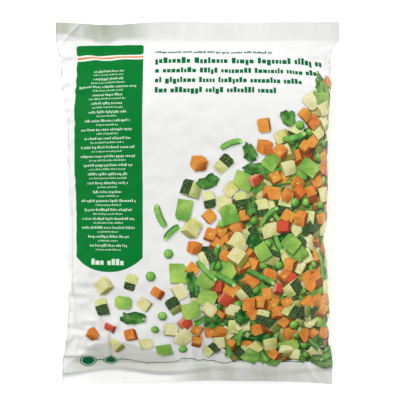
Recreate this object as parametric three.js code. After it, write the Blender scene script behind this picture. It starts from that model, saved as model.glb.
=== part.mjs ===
// A catering bag of frozen diced vegetables, lying on its back with the printed face up.
// One film tube, closed by a flat seal at each end. Millimetres, +Z up, +Y towards the bag's top seal,
// origin on the floor under the middle of the bag.
import * as THREE from "three";

// Sizes of the filled bag as it lies
const FILM_WIDTH = 300; // the tube laid flat, from side fold to side fold
const BAG_LENGTH = 384; // outer edge of one seal to outer edge of the other
const TOP_SEAL = 20.5; // depth of the top seal
const BOTTOM_SEAL = 24; // depth of the bottom seal
const BOTTOM_SPAN = 285; // width of the bottom seal, which its waves draw in
const WAIST = 273; // width of the filled body
const THICKNESS = 64; // floor to crown
const SIDE_HEIGHT = 27; // height of the widest line of the body
const SEAL_HEIGHT = 21; // height at which the seals leave the body
const SEAL_THICKNESS = 0.8; // two layers of film welded flat

// How the film runs between those sizes
const END_RISE = 118; // distance from a seal over which the body reaches its full thickness
const END_POWER = 2.5; // steepness of that rise at the seal
const CROWN_POWER = 2.7; // flatness of the cross-section's middle
const SIDE_POWER = 0.5; // roundness of the sides of the full body
const FLAT_SIDE_POWER = 0.9; // and next to a seal, where the film lies nearly flat
const FLOOR_PRESS = 15; // how far the load would push the underside below the floor
// The flare from the body to a seal: the corner's share of it dies away fast, the rest slowly
const TOP_FLARE = { corner: 0.55, cornerReach: 12, restReach: 75 };
const BOTTOM_FLARE = { corner: 0.8, cornerReach: 12, restReach: 40 };

// Gathers that run from each seal into the body, and waves of the seals themselves
const GATHER_HEIGHT = 2.6;
const GATHER_REACH = 46;
const GATHERS = [
  { pitch: 61, shift: 0.4, share: 0.55 },
  { pitch: 34, shift: 2.1, share: 0.3 },
  { pitch: 21, shift: 4.4, share: 0.22 },
];
const SWELL_HEIGHT = 1.1; // soft unevenness of the load under the film
const SWELL_PITCH = 88;
// Shallow dents in the left and right side folds
const DENTS = [
  { side: 1, at: -38, depth: 3.4, spread: 15 },
  { side: 1, at: 62, depth: 1.6, spread: 24 },
  { side: -1, at: 12, depth: 1.5, spread: 20 },
  { side: -1, at: -96, depth: 2.2, spread: 17 },
];
const TOP_WAVE = { height: 2.2, pitch: 150, shift: 0.9, lift: 1.5, droop: 5 };
const BOTTOM_WAVE = { height: 4.2, pitch: 104, shift: 2.6, lift: 2.5, droop: 4 };
const EDGE_ARCH = 3; // the bottom seal's outer edge bows in this far at its middle

// Mesh
const COLUMNS = 38;
const BODY_ROWS = 42;
const SEAL_ROWS = 3;
const FILM_COLOUR = 0xe9e9e6;

const TOP_LINE = BAG_LENGTH / 2 - TOP_SEAL; // where the top seal meets the body
const BOTTOM_LINE = -BAG_LENGTH / 2 + BOTTOM_SEAL;

const mix = (a, b, t) => a + (b - a) * t;
const clamp01 = (t) => Math.min(1, Math.max(0, t));
const wave = (x, pitch, shift) => Math.cos((2 * Math.PI * x) / pitch + shift);

// Distance into the body from the nearer seal, 0 on a seal.
function depthInBody(y) {
  return Math.max(0, Math.min(TOP_LINE - y, y - BOTTOM_LINE));
}

// Share of the full thickness at that depth.
function rise(depth) {
  return 1 - (1 - clamp01(depth / END_RISE)) ** END_POWER;
}

// From the middle of the bag to its left (-1) or right (1) side, from the wide seals to the drawn-in body.
function halfWidth(y, side) {
  const depth = depthInBody(y);
  const seal = y > 0 ? FILM_WIDTH / 2 : BOTTOM_SPAN / 2;
  const flare = y > 0 ? TOP_FLARE : BOTTOM_FLARE;
  const share =
    flare.corner * Math.exp(-depth / flare.cornerReach) +
    (1 - flare.corner) * Math.exp(-depth / flare.restReach);
  const dented = DENTS.filter((dent) => dent.side === side);
  const dent = dented.reduce((sum, d) => sum + d.depth * Math.exp(-(((y - d.at) / d.spread) ** 2)), 0);
  return mix(WAIST / 2, seal, share) - dent;
}

// Height of the seals, carried on into the body as the height of its sides.
function sideHeight(x, y) {
  const kind = y > 0 ? TOP_WAVE : BOTTOM_WAVE;
  const across = (2 * x) / FILM_WIDTH;
  const outward = Math.max(0, y - TOP_LINE, BOTTOM_LINE - y);
  const depth = depthInBody(y);
  const sealHeight =
    SEAL_HEIGHT +
    kind.height * wave(x, kind.pitch, kind.shift) +
    kind.lift * (outward / TOP_SEAL) -
    kind.droop * Math.abs(across) ** 3;
  return mix(sealHeight, SIDE_HEIGHT, rise(depth));
}

// Share of the thickness across the bag: 1 in the middle, 0 on the side folds.
function crown(u, fullness) {
  return (1 - Math.abs(u) ** CROWN_POWER) ** mix(FLAT_SIDE_POWER, SIDE_POWER, fullness);
}

// Gathers of slack film near the seals, and the uneven load further in.
function relief(x, y, u) {
  const depth = depthInBody(y);
  const fade = clamp01(depth / TOP_SEAL) * Math.exp(-depth / GATHER_REACH);
  const phase = y > 0 ? 0 : Math.PI / 3;
  const gather = GATHERS.reduce(
    (sum, g) => sum + g.share * wave(x, g.pitch, g.shift + phase),
    0,
  );
  const swell = wave(x, SWELL_PITCH, 0.7) * wave(y, SWELL_PITCH, 2.3);
  return (GATHER_HEIGHT * fade * gather + SWELL_HEIGHT * rise(depth) * swell) * (1 - u ** 4);
}

// Columns crowd towards the side folds, where the film turns down sharply.
function columnPlace(i) {
  return Math.sin((Math.PI / 2) * ((2 * i) / COLUMNS - 1));
}

// Stations along the bag: both seals, and body rows that crowd towards the seals.
function stations() {
  const places = [];
  for (let k = 0; k < SEAL_ROWS; k += 1) {
    places.push(-BAG_LENGTH / 2 + (BOTTOM_SEAL * k) / SEAL_ROWS);
  }
  for (let k = 0; k <= BODY_ROWS; k += 1) {
    const even = k / BODY_ROWS;
    const crowded = (1 - Math.cos(Math.PI * even)) / 2;
    places.push(mix(BOTTOM_LINE, TOP_LINE, mix(even, crowded, 0.6)));
  }
  for (let k = 1; k <= SEAL_ROWS; k += 1) {
    places.push(TOP_LINE + (TOP_SEAL * k) / SEAL_ROWS);
  }
  return places;
}

// The two film points over one place of the grid: on the printed face, and on the back.
function filmPoints(y, i) {
  const u = columnPlace(i);
  const x = u * halfWidth(y, Math.sign(u));
  const middle = sideHeight(x, y);
  const fullness = rise(depthInBody(y));
  const thick = fullness * crown(u, fullness);
  const beyond = clamp01((BOTTOM_LINE - y) / BOTTOM_SEAL);
  const place = y + beyond * EDGE_ARCH * (1 - u * u);
  const face = middle + SEAL_THICKNESS / 2 + (THICKNESS - SIDE_HEIGHT) * thick + relief(x, y, u);
  const back = middle - SEAL_THICKNESS / 2 - (SIDE_HEIGHT + FLOOR_PRESS) * thick;
  return [
    [x, place, face],
    [x, place, Math.max(0, back)],
  ];
}

// The bag as one closed surface: the printed face, the back, and the rim that joins them.
function bagGeometry() {
  const rows = stations();
  const across = COLUMNS + 1;
  const positions = [];
  for (const side of [0, 1]) {
    for (const y of rows) {
      for (let i = 0; i < across; i += 1) {
        positions.push(...filmPoints(y, i)[side]);
      }
    }
  }
  const face = (j, i) => j * across + i;
  const back = (j, i) => rows.length * across + face(j, i);
  const indices = [];
  const quad = (a, b, c, d) => indices.push(a, b, c, a, c, d);
  const last = rows.length - 1;
  for (let j = 0; j < last; j += 1) {
    for (let i = 0; i < COLUMNS; i += 1) {
      quad(face(j, i), face(j, i + 1), face(j + 1, i + 1), face(j + 1, i));
      quad(back(j, i), back(j + 1, i), back(j + 1, i + 1), back(j, i + 1));
    }
    quad(back(j, 0), face(j, 0), face(j + 1, 0), back(j + 1, 0));
    quad(face(j, COLUMNS), back(j, COLUMNS), back(j + 1, COLUMNS), face(j + 1, COLUMNS));
  }
  for (let i = 0; i < COLUMNS; i += 1) {
    quad(back(0, i), back(0, i + 1), face(0, i + 1), face(0, i));
    quad(face(last, i), face(last, i + 1), back(last, i + 1), back(last, i));
  }
  const geometry = new THREE.BufferGeometry();
  geometry.setAttribute("position", new THREE.Float32BufferAttribute(positions, 3));
  geometry.setIndex(indices);
  geometry.computeVertexNormals();
  return geometry;
}

const film = new THREE.MeshStandardMaterial({ color: FILM_COLOUR, roughness: 0.4, metalness: 0 });
const bag = new THREE.Mesh(bagGeometry(), film);
bag.name = "bag";

const part = new THREE.Group();
part.name = "frozen_vegetable_bag";
part.add(bag);

export default part;
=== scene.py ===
import bisect
import math
import random

import bpy
import numpy as np
from bpy.props import FloatProperty, FloatVectorProperty, IntProperty, PointerProperty
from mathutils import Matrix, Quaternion, Vector


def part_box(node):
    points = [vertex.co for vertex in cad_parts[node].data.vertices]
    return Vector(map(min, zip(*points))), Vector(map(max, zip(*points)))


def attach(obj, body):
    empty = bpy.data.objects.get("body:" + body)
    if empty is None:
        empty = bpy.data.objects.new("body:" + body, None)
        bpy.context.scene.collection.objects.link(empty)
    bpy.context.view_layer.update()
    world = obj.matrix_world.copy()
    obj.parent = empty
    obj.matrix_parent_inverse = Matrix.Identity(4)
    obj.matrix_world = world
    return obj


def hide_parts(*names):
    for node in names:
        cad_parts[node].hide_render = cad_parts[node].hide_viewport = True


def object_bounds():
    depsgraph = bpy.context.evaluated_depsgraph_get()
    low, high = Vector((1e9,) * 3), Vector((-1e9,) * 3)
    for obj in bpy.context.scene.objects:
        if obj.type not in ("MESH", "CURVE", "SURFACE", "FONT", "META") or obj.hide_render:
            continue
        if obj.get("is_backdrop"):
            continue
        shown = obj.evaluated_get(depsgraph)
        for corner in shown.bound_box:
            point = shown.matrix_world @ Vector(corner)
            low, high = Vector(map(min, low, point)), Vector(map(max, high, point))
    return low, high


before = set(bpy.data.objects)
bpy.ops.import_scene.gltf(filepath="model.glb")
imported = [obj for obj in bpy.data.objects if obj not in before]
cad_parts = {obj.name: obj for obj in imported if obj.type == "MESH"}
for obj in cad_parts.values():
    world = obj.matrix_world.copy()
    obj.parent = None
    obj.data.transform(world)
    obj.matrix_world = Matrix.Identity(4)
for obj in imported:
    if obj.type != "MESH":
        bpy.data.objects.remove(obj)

bl_info = {
    "name": "Frozen vegetable bag",
    "version": (1, 0, 0),
    "blender": (4, 5, 0),
    "location": "3D View > Sidebar > Vegetable bag",
    "description": "A catering bag of frozen diced vegetables, lying on its back",
    "category": "Object",
}

# The bag's own frame: metres, +Z up, +Y towards the top seal, the floor at zero.
CAD_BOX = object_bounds()
BAG_LOW, BAG_HIGH = (Vector(corner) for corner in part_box("bag"))
MM = 0.001


def mix(a, b, share):
    return a + (b - a) * share


def in_mm(*places):
    """A line's places in metres, from millimetres."""
    return [(a * MM, b * MM) for a, b in places]


# Sizes of the filled bag as it lies, the same as the solid's.
FILM_WIDTH = BAG_HIGH.x - BAG_LOW.x
BAG_LENGTH = BAG_HIGH.y - BAG_LOW.y
TOP_SEAL = 20.5 * MM
BOTTOM_SEAL = 24 * MM
BOTTOM_SPAN = 285 * MM
WAIST = 273 * MM
THICKNESS = 64 * MM
SIDE_HEIGHT = 27 * MM
SEAL_HEIGHT = 21 * MM
TOP_LINE = BAG_LENGTH / 2 - TOP_SEAL
BOTTOM_LINE = BOTTOM_SEAL - BAG_LENGTH / 2

# How the film runs between those sizes.
END_RISE = 118 * MM
END_POWER = 2.5
CROWN_POWER = 2.7
SIDE_POWER = 0.5
FLAT_SIDE_POWER = 0.9
FLOOR_PRESS = 15 * MM
FLOOR_GAP = 0.5 * MM  # room under the film for what is stuck and printed on the back
TOP_FLARE = {"corner": 0.55, "corner_reach": 12 * MM, "rest_reach": 75 * MM}
BOTTOM_FLARE = {"corner": 0.8, "corner_reach": 12 * MM, "rest_reach": 40 * MM}
# Shallow dents in the side folds: side, place along the bag, depth, spread.
DENTS = (
    (1, -38 * MM, 3.4 * MM, 15 * MM),
    (1, 62 * MM, 1.6 * MM, 24 * MM),
    (-1, 12 * MM, 1.5 * MM, 20 * MM),
    (-1, -96 * MM, 2.2 * MM, 17 * MM),
)
TOP_WAVE = {"height": 2.2 * MM, "pitch": 150 * MM, "shift": 0.9, "lift": 1.5 * MM, "droop": 5 * MM}
BOTTOM_WAVE = {"height": 4.2 * MM, "pitch": 104 * MM, "shift": 2.6, "lift": 2.5 * MM, "droop": 4 * MM}
EDGE_ARCH = 3 * MM
CURL_POWER = 1.4  # steepness with which a curl grows towards a seal's outer edge
# Where a seal curls: place along X, spread, height there, how far the edge draws in.
TOP_CURLS = ((-93 * MM, 36 * MM, 6.5 * MM, 4 * MM), (40 * MM, 55 * MM, -2.5 * MM, 0.6 * MM))
BOTTOM_CURLS = (
    (-112 * MM, 40 * MM, 8 * MM, 0),
    (-35 * MM, 26 * MM, 1 * MM, 0.8 * MM),
    (66 * MM, 72 * MM, -8.5 * MM, 1 * MM),
)
GATHER_HEIGHT = 1.5 * MM
GATHER_REACH = 46 * MM
GATHER_SHIFT = math.pi / 3  # of the gathers at the bottom seal against those at the top
# Gathers that run from each seal into the body: pitch, shift, share of the height.
GATHERS = ((61 * MM, 0.4, 0.55), (34 * MM, 2.1, 0.3), (21 * MM, 4.4, 0.22))
# The fold over the slack corner at the bottom left: its line, as (x, y), its height and how it falls off.
SLACK_LINE = in_mm((-150, -181), (-108, -146), (-76, -144.5), (-50, -152.5), (0, -168))
SLACK_HEIGHT = 13.5 * MM
SLACK_ABOVE, SLACK_BELOW = 46 * MM, 26 * MM
# Where the fold ends at the right, and the length of its end.
SLACK_RIGHT, SLACK_RIGHT_FADE = -6 * MM, 55 * MM
SLACK_SEAL_FADE = 9 * MM
# The step down from the slack film to the outer band of the bottom seal: drop at the left and at the right,
# the width over which one becomes the other, place of the step's middle, its width, and how its line waves:
# height, pitch, shift.
SEAL_DROP = (7 * MM, 3 * MM)
SEAL_DROP_CHANGE = 60 * MM
SEAL_DROP_LINE, SEAL_DROP_WIDTH = -179 * MM, 8 * MM
SEAL_DROP_WAVE = (2.6 * MM, 114 * MM, 4.8)
# Sharper creases near the corners of each seal: place along X at the seal line, lean, half width, height.
TOP_CREASES = ((-142 * MM, 0.95, 2.6 * MM, 1.7 * MM), (-108 * MM, -0.5, 3.2 * MM, -1.6 * MM))
BOTTOM_CREASES = ((-62 * MM, -0.7, 3 * MM, -1.5 * MM), (114 * MM, 0.6, 3.4 * MM, 1.6 * MM))
# Small creases between them, drawn at random: ranges of their gaps, lean, half width and height.
CREASES_FROM, CREASES_TO = -140 * MM, 140 * MM
CREASE_GAPS = (6, 17)
CREASE_LEANS = (-0.4, 0.4)
CREASE_WIDTHS = (1.6, 6)
CREASE_HEIGHTS = (-1.3, 1.5)
# The share of a crease's height at the seal line, and how far it runs on into the body.
CREASE_SHARE, CREASE_REACH = 0.55, 17 * MM
SIDE_PUSH_FADE = 4 * MM  # distance from a seal over which the sides may move
# Where the film is drawn in at a side: side, place along the bag, how far, spread.
SIDE_PUSHES = (
    (1, 158 * MM, 8 * MM, 34 * MM),
    (1, -38 * MM, 3.6 * MM, 16 * MM),
    (1, -140 * MM, 2 * MM, 25 * MM),
    (-1, 150 * MM, 2.5 * MM, 25 * MM),
    (-1, 60 * MM, -1.8 * MM, 70 * MM),
    (-1, -135 * MM, 3.4 * MM, 28 * MM),
)
# The upright crease near the right side: its line, as (x, y), its height, half width and the length of its
# ends.
SIDE_CREASE = in_mm((121, 66), (126, 40), (128, -5), (133, -44))
SIDE_CREASE_HEIGHT, SIDE_CREASE_WIDTH = 1.7 * MM, 2.6 * MM
SIDE_CREASE_FADE = 18 * MM
# The valley beside it: its depth, place and width, against the ridge's.
VALLEY_SHARE, VALLEY_PLACE, VALLEY_WIDTH = 0.7, 2.4, 1.5
RIB_PITCH = 2.4 * MM  # fine ribs pressed across the seals

# The film before it was filled: one tube, laid flat. s runs once round it from the left side fold,
# over the printed face and back underneath, and t runs up it from the bottom edge.
FLAT_BODY = 360 * MM
FLAT_ROUND = 2 * FILM_WIDTH
FLAT_LENGTH = BOTTOM_SEAL + FLAT_BODY + TOP_SEAL
BODY_START = BOTTOM_SEAL
BODY_END = BOTTOM_SEAL + FLAT_BODY

# The film's mesh: a coarse grid that wrinkles first, and the finer one made from it.
COARSE_COLUMNS = 100
COARSE_ROWS = 60
REFINE = 3
COLUMNS = COARSE_COLUMNS * REFINE
BODY_ROWS = COARSE_ROWS * REFINE
SEAL_ROW = 0.6 * MM
TOP_ROWS = round(TOP_SEAL / SEAL_ROW)
BOTTOM_ROWS = round(BOTTOM_SEAL / SEAL_ROW)
COLUMN_PITCH = FLAT_ROUND / COLUMNS
FIRST_WRINKLES = 1.2 * MM  # height of the random bumps that the wrinkles grow from
COARSE_SETTLING = {"rounds": 6, "load": 0.01, "stiffness": 0.01, "glide": 0.85}
FINE_SETTLING = {"rounds": 5, "load": 0.004, "stiffness": 0.02, "glide": 0.5}
LUMP_PASSES = 5
LUMP_ROWS = 15  # rows next to a seal over which the lumps grow to their full height
ROW_LINES = [
    *np.linspace(0, BODY_START, BOTTOM_ROWS + 1)[:-1],
    *np.linspace(BODY_START, BODY_END, BODY_ROWS + 1),
    *np.linspace(BODY_END, FLAT_LENGTH, TOP_ROWS + 1)[1:],
]

PRINT_LIFT = 0.05 * MM  # ink above film
LAYER_LIFT = 0.012 * MM  # one pictured piece above another
SMALLEST_PART = 1e-11  # square metres of print that are worth a face


def wave(place, pitch, shift):
    return np.cos(2 * np.pi * place / pitch + shift)


# Nodes, for materials and Geometry Nodes alike


def operator(operation, turned=False):
    """A method for Wire that adds one Math node. Where it is turned, the Wire is the node's second value."""

    def method(self, *others):
        values = (*others, self) if turned else (self, *others)
        return self.graph.math(operation, *values)

    return method


class Wire:
    """A number in a node tree. Python's operators on it add Math nodes."""

    def __init__(self, graph, socket):
        self.graph = graph
        self.socket = socket

    __add__ = operator("ADD")
    __radd__ = operator("ADD", True)
    __sub__ = operator("SUBTRACT")
    __rsub__ = operator("SUBTRACT", True)
    __mul__ = operator("MULTIPLY")
    __rmul__ = operator("MULTIPLY", True)
    __truediv__ = operator("DIVIDE")
    __rtruediv__ = operator("DIVIDE", True)
    __pow__ = operator("POWER")
    __mod__ = operator("MODULO")
    __abs__ = operator("ABSOLUTE")
    __lt__ = operator("LESS_THAN")
    __gt__ = operator("GREATER_THAN")
    floor = operator("FLOOR")

    def between(self, low, high):
        """0 up to low, 1 from high on, and a smooth step from one to the other."""
        settings = {"interpolation_type": "SMOOTHSTEP"}
        inputs = {"Value": self, "From Min": low, "From Max": high}
        return Wire(self.graph, self.graph.node("ShaderNodeMapRange", settings, inputs).outputs[0])


class Graph:
    """A node tree that is written as expressions."""

    def __init__(self, tree):
        self.tree = tree

    def node(self, kind, settings=None, inputs=None):
        """Adds a node: first its settings, then a value or a link for each input, by name or number."""
        node = self.tree.nodes.new(kind)
        for name, value in (settings or {}).items():
            setattr(node, name, value)
        for name, value in (inputs or {}).items():
            self.plug(node.inputs[name], value)
        return node

    def plug(self, socket, value):
        value = value.socket if isinstance(value, Wire) else value
        if isinstance(value, bpy.types.NodeSocket):
            self.tree.links.new(value, socket)
        else:
            socket.default_value = value

    def math(self, operation, *values):
        node = self.node("ShaderNodeMath", {"operation": operation}, dict(enumerate(values)))
        return Wire(self, node.outputs[0])

    def vector(self, operation, *values):
        node = self.node("ShaderNodeVectorMath", {"operation": operation}, dict(enumerate(values)))
        return node.outputs["Vector"]

    def parts(self, vector):
        """The three numbers of a vector."""
        node = self.node("ShaderNodeSeparateXYZ", None, {0: vector})
        return [Wire(self, output) for output in node.outputs]

    def joined(self, x, y, z):
        return self.node("ShaderNodeCombineXYZ", None, {0: x, 1: y, 2: z}).outputs[0]


class Finish(Graph):
    """A material around one Principled shader."""

    def __init__(self, name, **constants):
        self.material = bpy.data.materials.new(name)
        self.material.use_nodes = True
        super().__init__(self.material.node_tree)
        self.shader = self.tree.nodes["Principled BSDF"]
        for socket, value in constants.items():
            self.shader.inputs[socket.replace("_", " ")].default_value = value

    def place(self):
        """Where a point lies on the bag, in metres."""
        return self.node("ShaderNodeTexCoord").outputs["Object"]

    def flat(self):
        """Where a point lies on the flat film, in metres."""
        spot = self.node("ShaderNodeUVMap", {"uv_map": "flat"}).outputs["UV"]
        return self.vector("MULTIPLY", spot, (FLAT_ROUND, FLAT_LENGTH, 1))

    def carried(self, name):
        """A value that the mesh carries."""
        node = self.node("ShaderNodeAttribute", {"attribute_name": name})
        return Wire(self, node.outputs["Fac"])

    def noise(self, place, scale, detail=2.0, roughness=0.5):
        inputs = {"Vector": place, "Scale": scale, "Detail": detail, "Roughness": roughness}
        return Wire(self, self.node("ShaderNodeTexNoise", None, inputs).outputs[0])

    def cells(self, place, scale, feature="F1"):
        inputs = {"Vector": place, "Scale": scale}
        node = self.node("ShaderNodeTexVoronoi", {"feature": feature}, inputs)
        return Wire(self, node.outputs["Distance"])

    def blend(self, share, a, b, how="MIX"):
        """A colour share of the way from a to b."""
        settings = {"data_type": "RGBA", "blend_type": how, "clamp_factor": True}
        node = self.node("ShaderNodeMix", settings, {"Factor": share})
        for socket, colour in ((node.inputs[6], a), (node.inputs[7], b)):
            self.plug(socket, (*colour, 1) if isinstance(colour, tuple) else colour)
        return node.outputs[2]

    def set(self, **values):
        for name, value in values.items():
            self.plug(self.shader.inputs[name.replace("_", " ")], value)


def colour(red, green, blue):
    """A colour as a screen shows it, 0 to 255, in the linear values that a shader takes."""
    return tuple(
        v / 12.92 if v <= 0.04045 else ((v + 0.055) / 1.055) ** 2.4
        for v in (red / 255, green / 255, blue / 255)
    )


# The settings that a user would change


def length_setting(name, description, default):
    return FloatProperty(name=name, description=description, default=default, subtype="DISTANCE")


def power_setting(name, description, default):
    return FloatProperty(name=name, description=description, default=default, subtype="POWER")


def colour_setting(name, description, default):
    colours = {"subtype": "COLOR", "min": 0, "max": 1}
    return FloatVectorProperty(name=name, description=description, default=default, **colours)


class BagFilmSettings(bpy.types.PropertyGroup):
    wrinkle_seed: IntProperty(name="Wrinkle seed", description="Draw of the film's wrinkles", default=3)
    coarse_steps: IntProperty(name="Steps", description="Steps in which the film settles", default=60)
    fine_steps: IntProperty(name="Fine steps", description="Steps on the finer grid", default=14)
    seal_ribs: length_setting("Seal ribs", "Height of the fine ribs across a seal", 0.04 * MM)
    lumps: length_setting("Lumps", "Height of the load's lumps under the film", 0.35 * MM)
    tint: colour_setting("Film", "Colour of the film", colour(225, 225, 223))


class BagPrintSettings(bpy.types.PropertyGroup):
    green: colour_setting("Green", "Ink of the label panel", colour(0, 116, 44))
    dark_green: colour_setting("Dark green", "Ink of the upper rows", colour(0, 102, 56))
    orange: colour_setting("Orange", "Ink of the stripe", colour(210, 142, 76))
    panel_left: length_setting("Panel left", "From the side fold to the panel", 20.5 * MM)
    panel_width: length_setting("Panel width", "Width of the label panel", 73 * MM)
    panel_top: length_setting("Panel top", "Place of the panel's upper edge", 358 * MM)
    panel_shoulder: length_setting("Panel shoulder", "Where the panel's lower edge starts to bow", 147 * MM)
    panel_bow: length_setting("Panel bow", "Depth of that bow", 15.5 * MM)
    heap_seed: IntProperty(name="Heap seed", description="Draw of the pictured vegetables", default=11)
    heap_pitch: length_setting("Heap pitch", "Distance between pictured vegetables", 11.5 * MM)


class BagStageSettings(bpy.types.PropertyGroup):
    camera_height: length_setting("Camera height", "Camera above the bag", 1.6)
    view_width: length_setting("View width", "Width of the view at the bag", 421 * MM)
    key_power: power_setting("Key light", "Power of the soft light", 6)
    fill_power: power_setting("Fill light", "Power of the light from the right", 5)
    key_size: length_setting("Light size", "Width of each soft light", 1.2)
    sky: FloatProperty(name="Surrounding light", description="Strength of the even light", default=1.06)
    floor_glow: FloatProperty(name="Floor glow", description="Light that the floor gives", default=0.26)


# The film


def depth_in_body(y):
    """Distance into the body from the nearer seal, 0 on a seal."""
    return np.maximum(0.0, np.minimum(TOP_LINE - y, y - BOTTOM_LINE))


def rise(depth):
    """Share of the full thickness at that depth."""
    return 1 - (1 - min(1.0, depth / END_RISE)) ** END_POWER


def half_width(y, side):
    """From the bag's middle to its left (-1) or right (1) side."""
    depth = depth_in_body(y)
    seal = (FILM_WIDTH if y > 0 else BOTTOM_SPAN) / 2
    flare = TOP_FLARE if y > 0 else BOTTOM_FLARE
    share = flare["corner"] * math.exp(-depth / flare["corner_reach"])
    share += (1 - flare["corner"]) * math.exp(-depth / flare["rest_reach"])
    own = [dent[1:] for dent in DENTS if dent[0] == side]
    dents = sum(size * math.exp(-(((y - at) / spread) ** 2)) for at, size, spread in own)
    return mix(WAIST / 2, seal, share) - dents


def side_height(x, y):
    """Height of the seals, carried on into the body as the height of its sides."""
    kind = TOP_WAVE if y > 0 else BOTTOM_WAVE
    outward = max(0.0, y - TOP_LINE, BOTTOM_LINE - y)
    seal = SEAL_HEIGHT + kind["height"] * wave(x, kind["pitch"], kind["shift"])
    seal += kind["lift"] * outward / TOP_SEAL - kind["droop"] * np.abs(2 * x / FILM_WIDTH) ** 3
    for at, spread, height, _ in TOP_CURLS if y > 0 else BOTTOM_CURLS:
        seal = seal + height * (outward / TOP_SEAL) ** CURL_POWER * np.exp(-(((x - at) / spread) ** 2))
    if y < 0:
        line = SEAL_DROP_LINE + SEAL_DROP_WAVE[0] * wave(x, *SEAL_DROP_WAVE[1:])
        share = np.clip((line - y) / SEAL_DROP_WIDTH + 0.5, 0, 1)
        drop = mix(*SEAL_DROP, np.clip(x / SEAL_DROP_CHANGE + 0.5, 0, 1))
        seal = seal - drop * share**2 * (3 - 2 * share)
    return mix(seal, SIDE_HEIGHT, rise(depth_in_body(y)))


def drawn_in(x, across, y):
    """How far the outer edge of a seal draws in towards the body there."""
    share = min(1.0, max(0.0, y - TOP_LINE, BOTTOM_LINE - y) / TOP_SEAL)
    inward = EDGE_ARCH * (1 - across**2) if y < 0 else 0 * x
    for at, spread, _, shift in TOP_CURLS if y > 0 else BOTTOM_CURLS:
        inward = inward + shift * np.exp(-(((x - at) / spread) ** 2))
    return share * (-inward if y > 0 else inward)


def relief(grid):
    """Height of the gathers of slack film near the seals, and of the fold over the slack corner."""
    x, y = grid[..., 0], grid[..., 1]
    depth = depth_in_body(y)
    fade = np.minimum(1, depth / TOP_SEAL) * np.exp(-depth / GATHER_REACH)
    phase = np.where(y > 0, 0, GATHER_SHIFT)
    gathers = sum(share * wave(x, pitch, shift + phase) for pitch, shift, share in GATHERS)
    away = y - np.interp(x, *zip(*SLACK_LINE))
    fold = np.clip(1 - np.where(away > 0, away / SLACK_ABOVE, -away / SLACK_BELOW), 0, 1)
    fold *= np.clip((SLACK_RIGHT - x) / SLACK_RIGHT_FADE, 0, 1) * np.minimum(1, depth / SLACK_SEAL_FADE)
    side = np.minimum(1, np.abs(x) / (WAIST / 2))
    return GATHER_HEIGHT * fade * gathers * (1 - side**4) + SLACK_HEIGHT * fold * (1 - side**9)


def side_pushes(grid):
    """How far each point of the body moves along X where the film is drawn in at a side."""
    x, y = grid[..., 0], grid[..., 1]
    depth = depth_in_body(y)
    outward = np.minimum(1, np.abs(x) / (WAIST / 2)) ** 4 * (1 - np.exp(-depth / SIDE_PUSH_FADE))
    move = 0 * x
    for side, at, size, spread in SIDE_PUSHES:
        move -= side * (side * x > 0) * size * np.exp(-(((y - at) / spread) ** 2))
    return move * outward


def side_crease(grid):
    """Height of the upright crease near the right side: a ridge, and a shallow valley beside it."""
    x, y = grid[..., 0], grid[..., 1]
    places = sorted(SIDE_CREASE, key=lambda place: place[1])
    line = np.interp(y, [place[1] for place in places], [place[0] for place in places])
    inward = np.minimum(y - places[0][1], places[-1][1] - y)
    away = (x - line) / SIDE_CREASE_WIDTH
    valley = VALLEY_SHARE * np.exp(-(((away + VALLEY_PLACE) / VALLEY_WIDTH) ** 2))
    return SIDE_CREASE_HEIGHT * np.clip(inward / SIDE_CREASE_FADE, 0, 1) * (np.exp(-(away**2)) - valley)


def film_round(y, layer=0.4 * MM, samples=801):
    """The film's section at y: COLUMNS points round the tube, the first on the left side fold."""
    across = np.sin(np.linspace(-math.pi / 2, math.pi / 2, samples))
    x = across * np.where(across < 0, half_width(y, -1), half_width(y, 1))
    fullness = rise(depth_in_body(y))
    power = mix(FLAT_SIDE_POWER, SIDE_POWER, fullness)
    thick = fullness * np.maximum(0, 1 - np.abs(across) ** CROWN_POWER) ** power
    middle = side_height(x, y)
    face = middle + layer / 2 + (THICKNESS - SIDE_HEIGHT) * thick
    back = np.maximum(FLOOR_GAP, middle - layer / 2 - (SIDE_HEIGHT + FLOOR_PRESS) * thick)
    along = y + drawn_in(x, across, y)
    loop = np.concatenate([np.stack([x, along, face], 1), np.stack([x, along, back], 1)[::-1]])
    length = np.concatenate([[0], np.cumsum(np.linalg.norm(np.diff(loop, axis=0), axis=1))])
    crest, under = length[samples // 2], length[samples + samples // 2]
    # The middle of the printed face stays on the crest, and the middle of the back under it.
    turn = np.arange(COLUMNS) / COLUMNS
    right = crest + (turn - 0.25) * 2 * (under - crest)
    left = crest - (0.25 - turn) * 2 * (length[-1] - (under - crest))
    rest = under + (turn - 0.75) * 2 * (length[-1] - (under - crest))
    place = np.where(turn < 0.25, left, np.where(turn <= 0.75, right, rest)) % length[-1]
    return np.stack([np.interp(place, length, loop[:, axis]) for axis in range(3)], 1)


def even_rows(sections, rows):
    """The same surface with each column's points spread evenly along it."""
    steps = np.linalg.norm(np.diff(sections, axis=0), axis=2)
    reach = np.concatenate([np.zeros((1, sections.shape[1])), np.cumsum(steps, axis=0)])
    result = np.empty((rows + 1, sections.shape[1], 3))
    for column in range(sections.shape[1]):
        place = np.linspace(0, reach[-1, column], rows + 1)
        for axis in range(3):
            result[:, column, axis] = np.interp(place, reach[:, column], sections[:, column, axis])
    return result


def grid_normals(grid):
    """Outward normals of a grid whose columns close round the bag."""
    round_step = np.roll(grid, -1, 1) - np.roll(grid, 1, 1)
    normals = np.cross(round_step, np.gradient(grid, axis=0))
    return normals / np.maximum(np.linalg.norm(normals, axis=2, keepdims=True), 1e-12)


def smoothed(values, passes):
    """Values on the grid, each made the mean of itself and its neighbours, in so many passes."""
    for _ in range(passes):
        values = (values + np.roll(values, 1, 1) + np.roll(values, -1, 1)) / 3
        values[1:-1] = (values[:-2] + values[1:-1] + values[2:]) / 3
    return values


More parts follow.
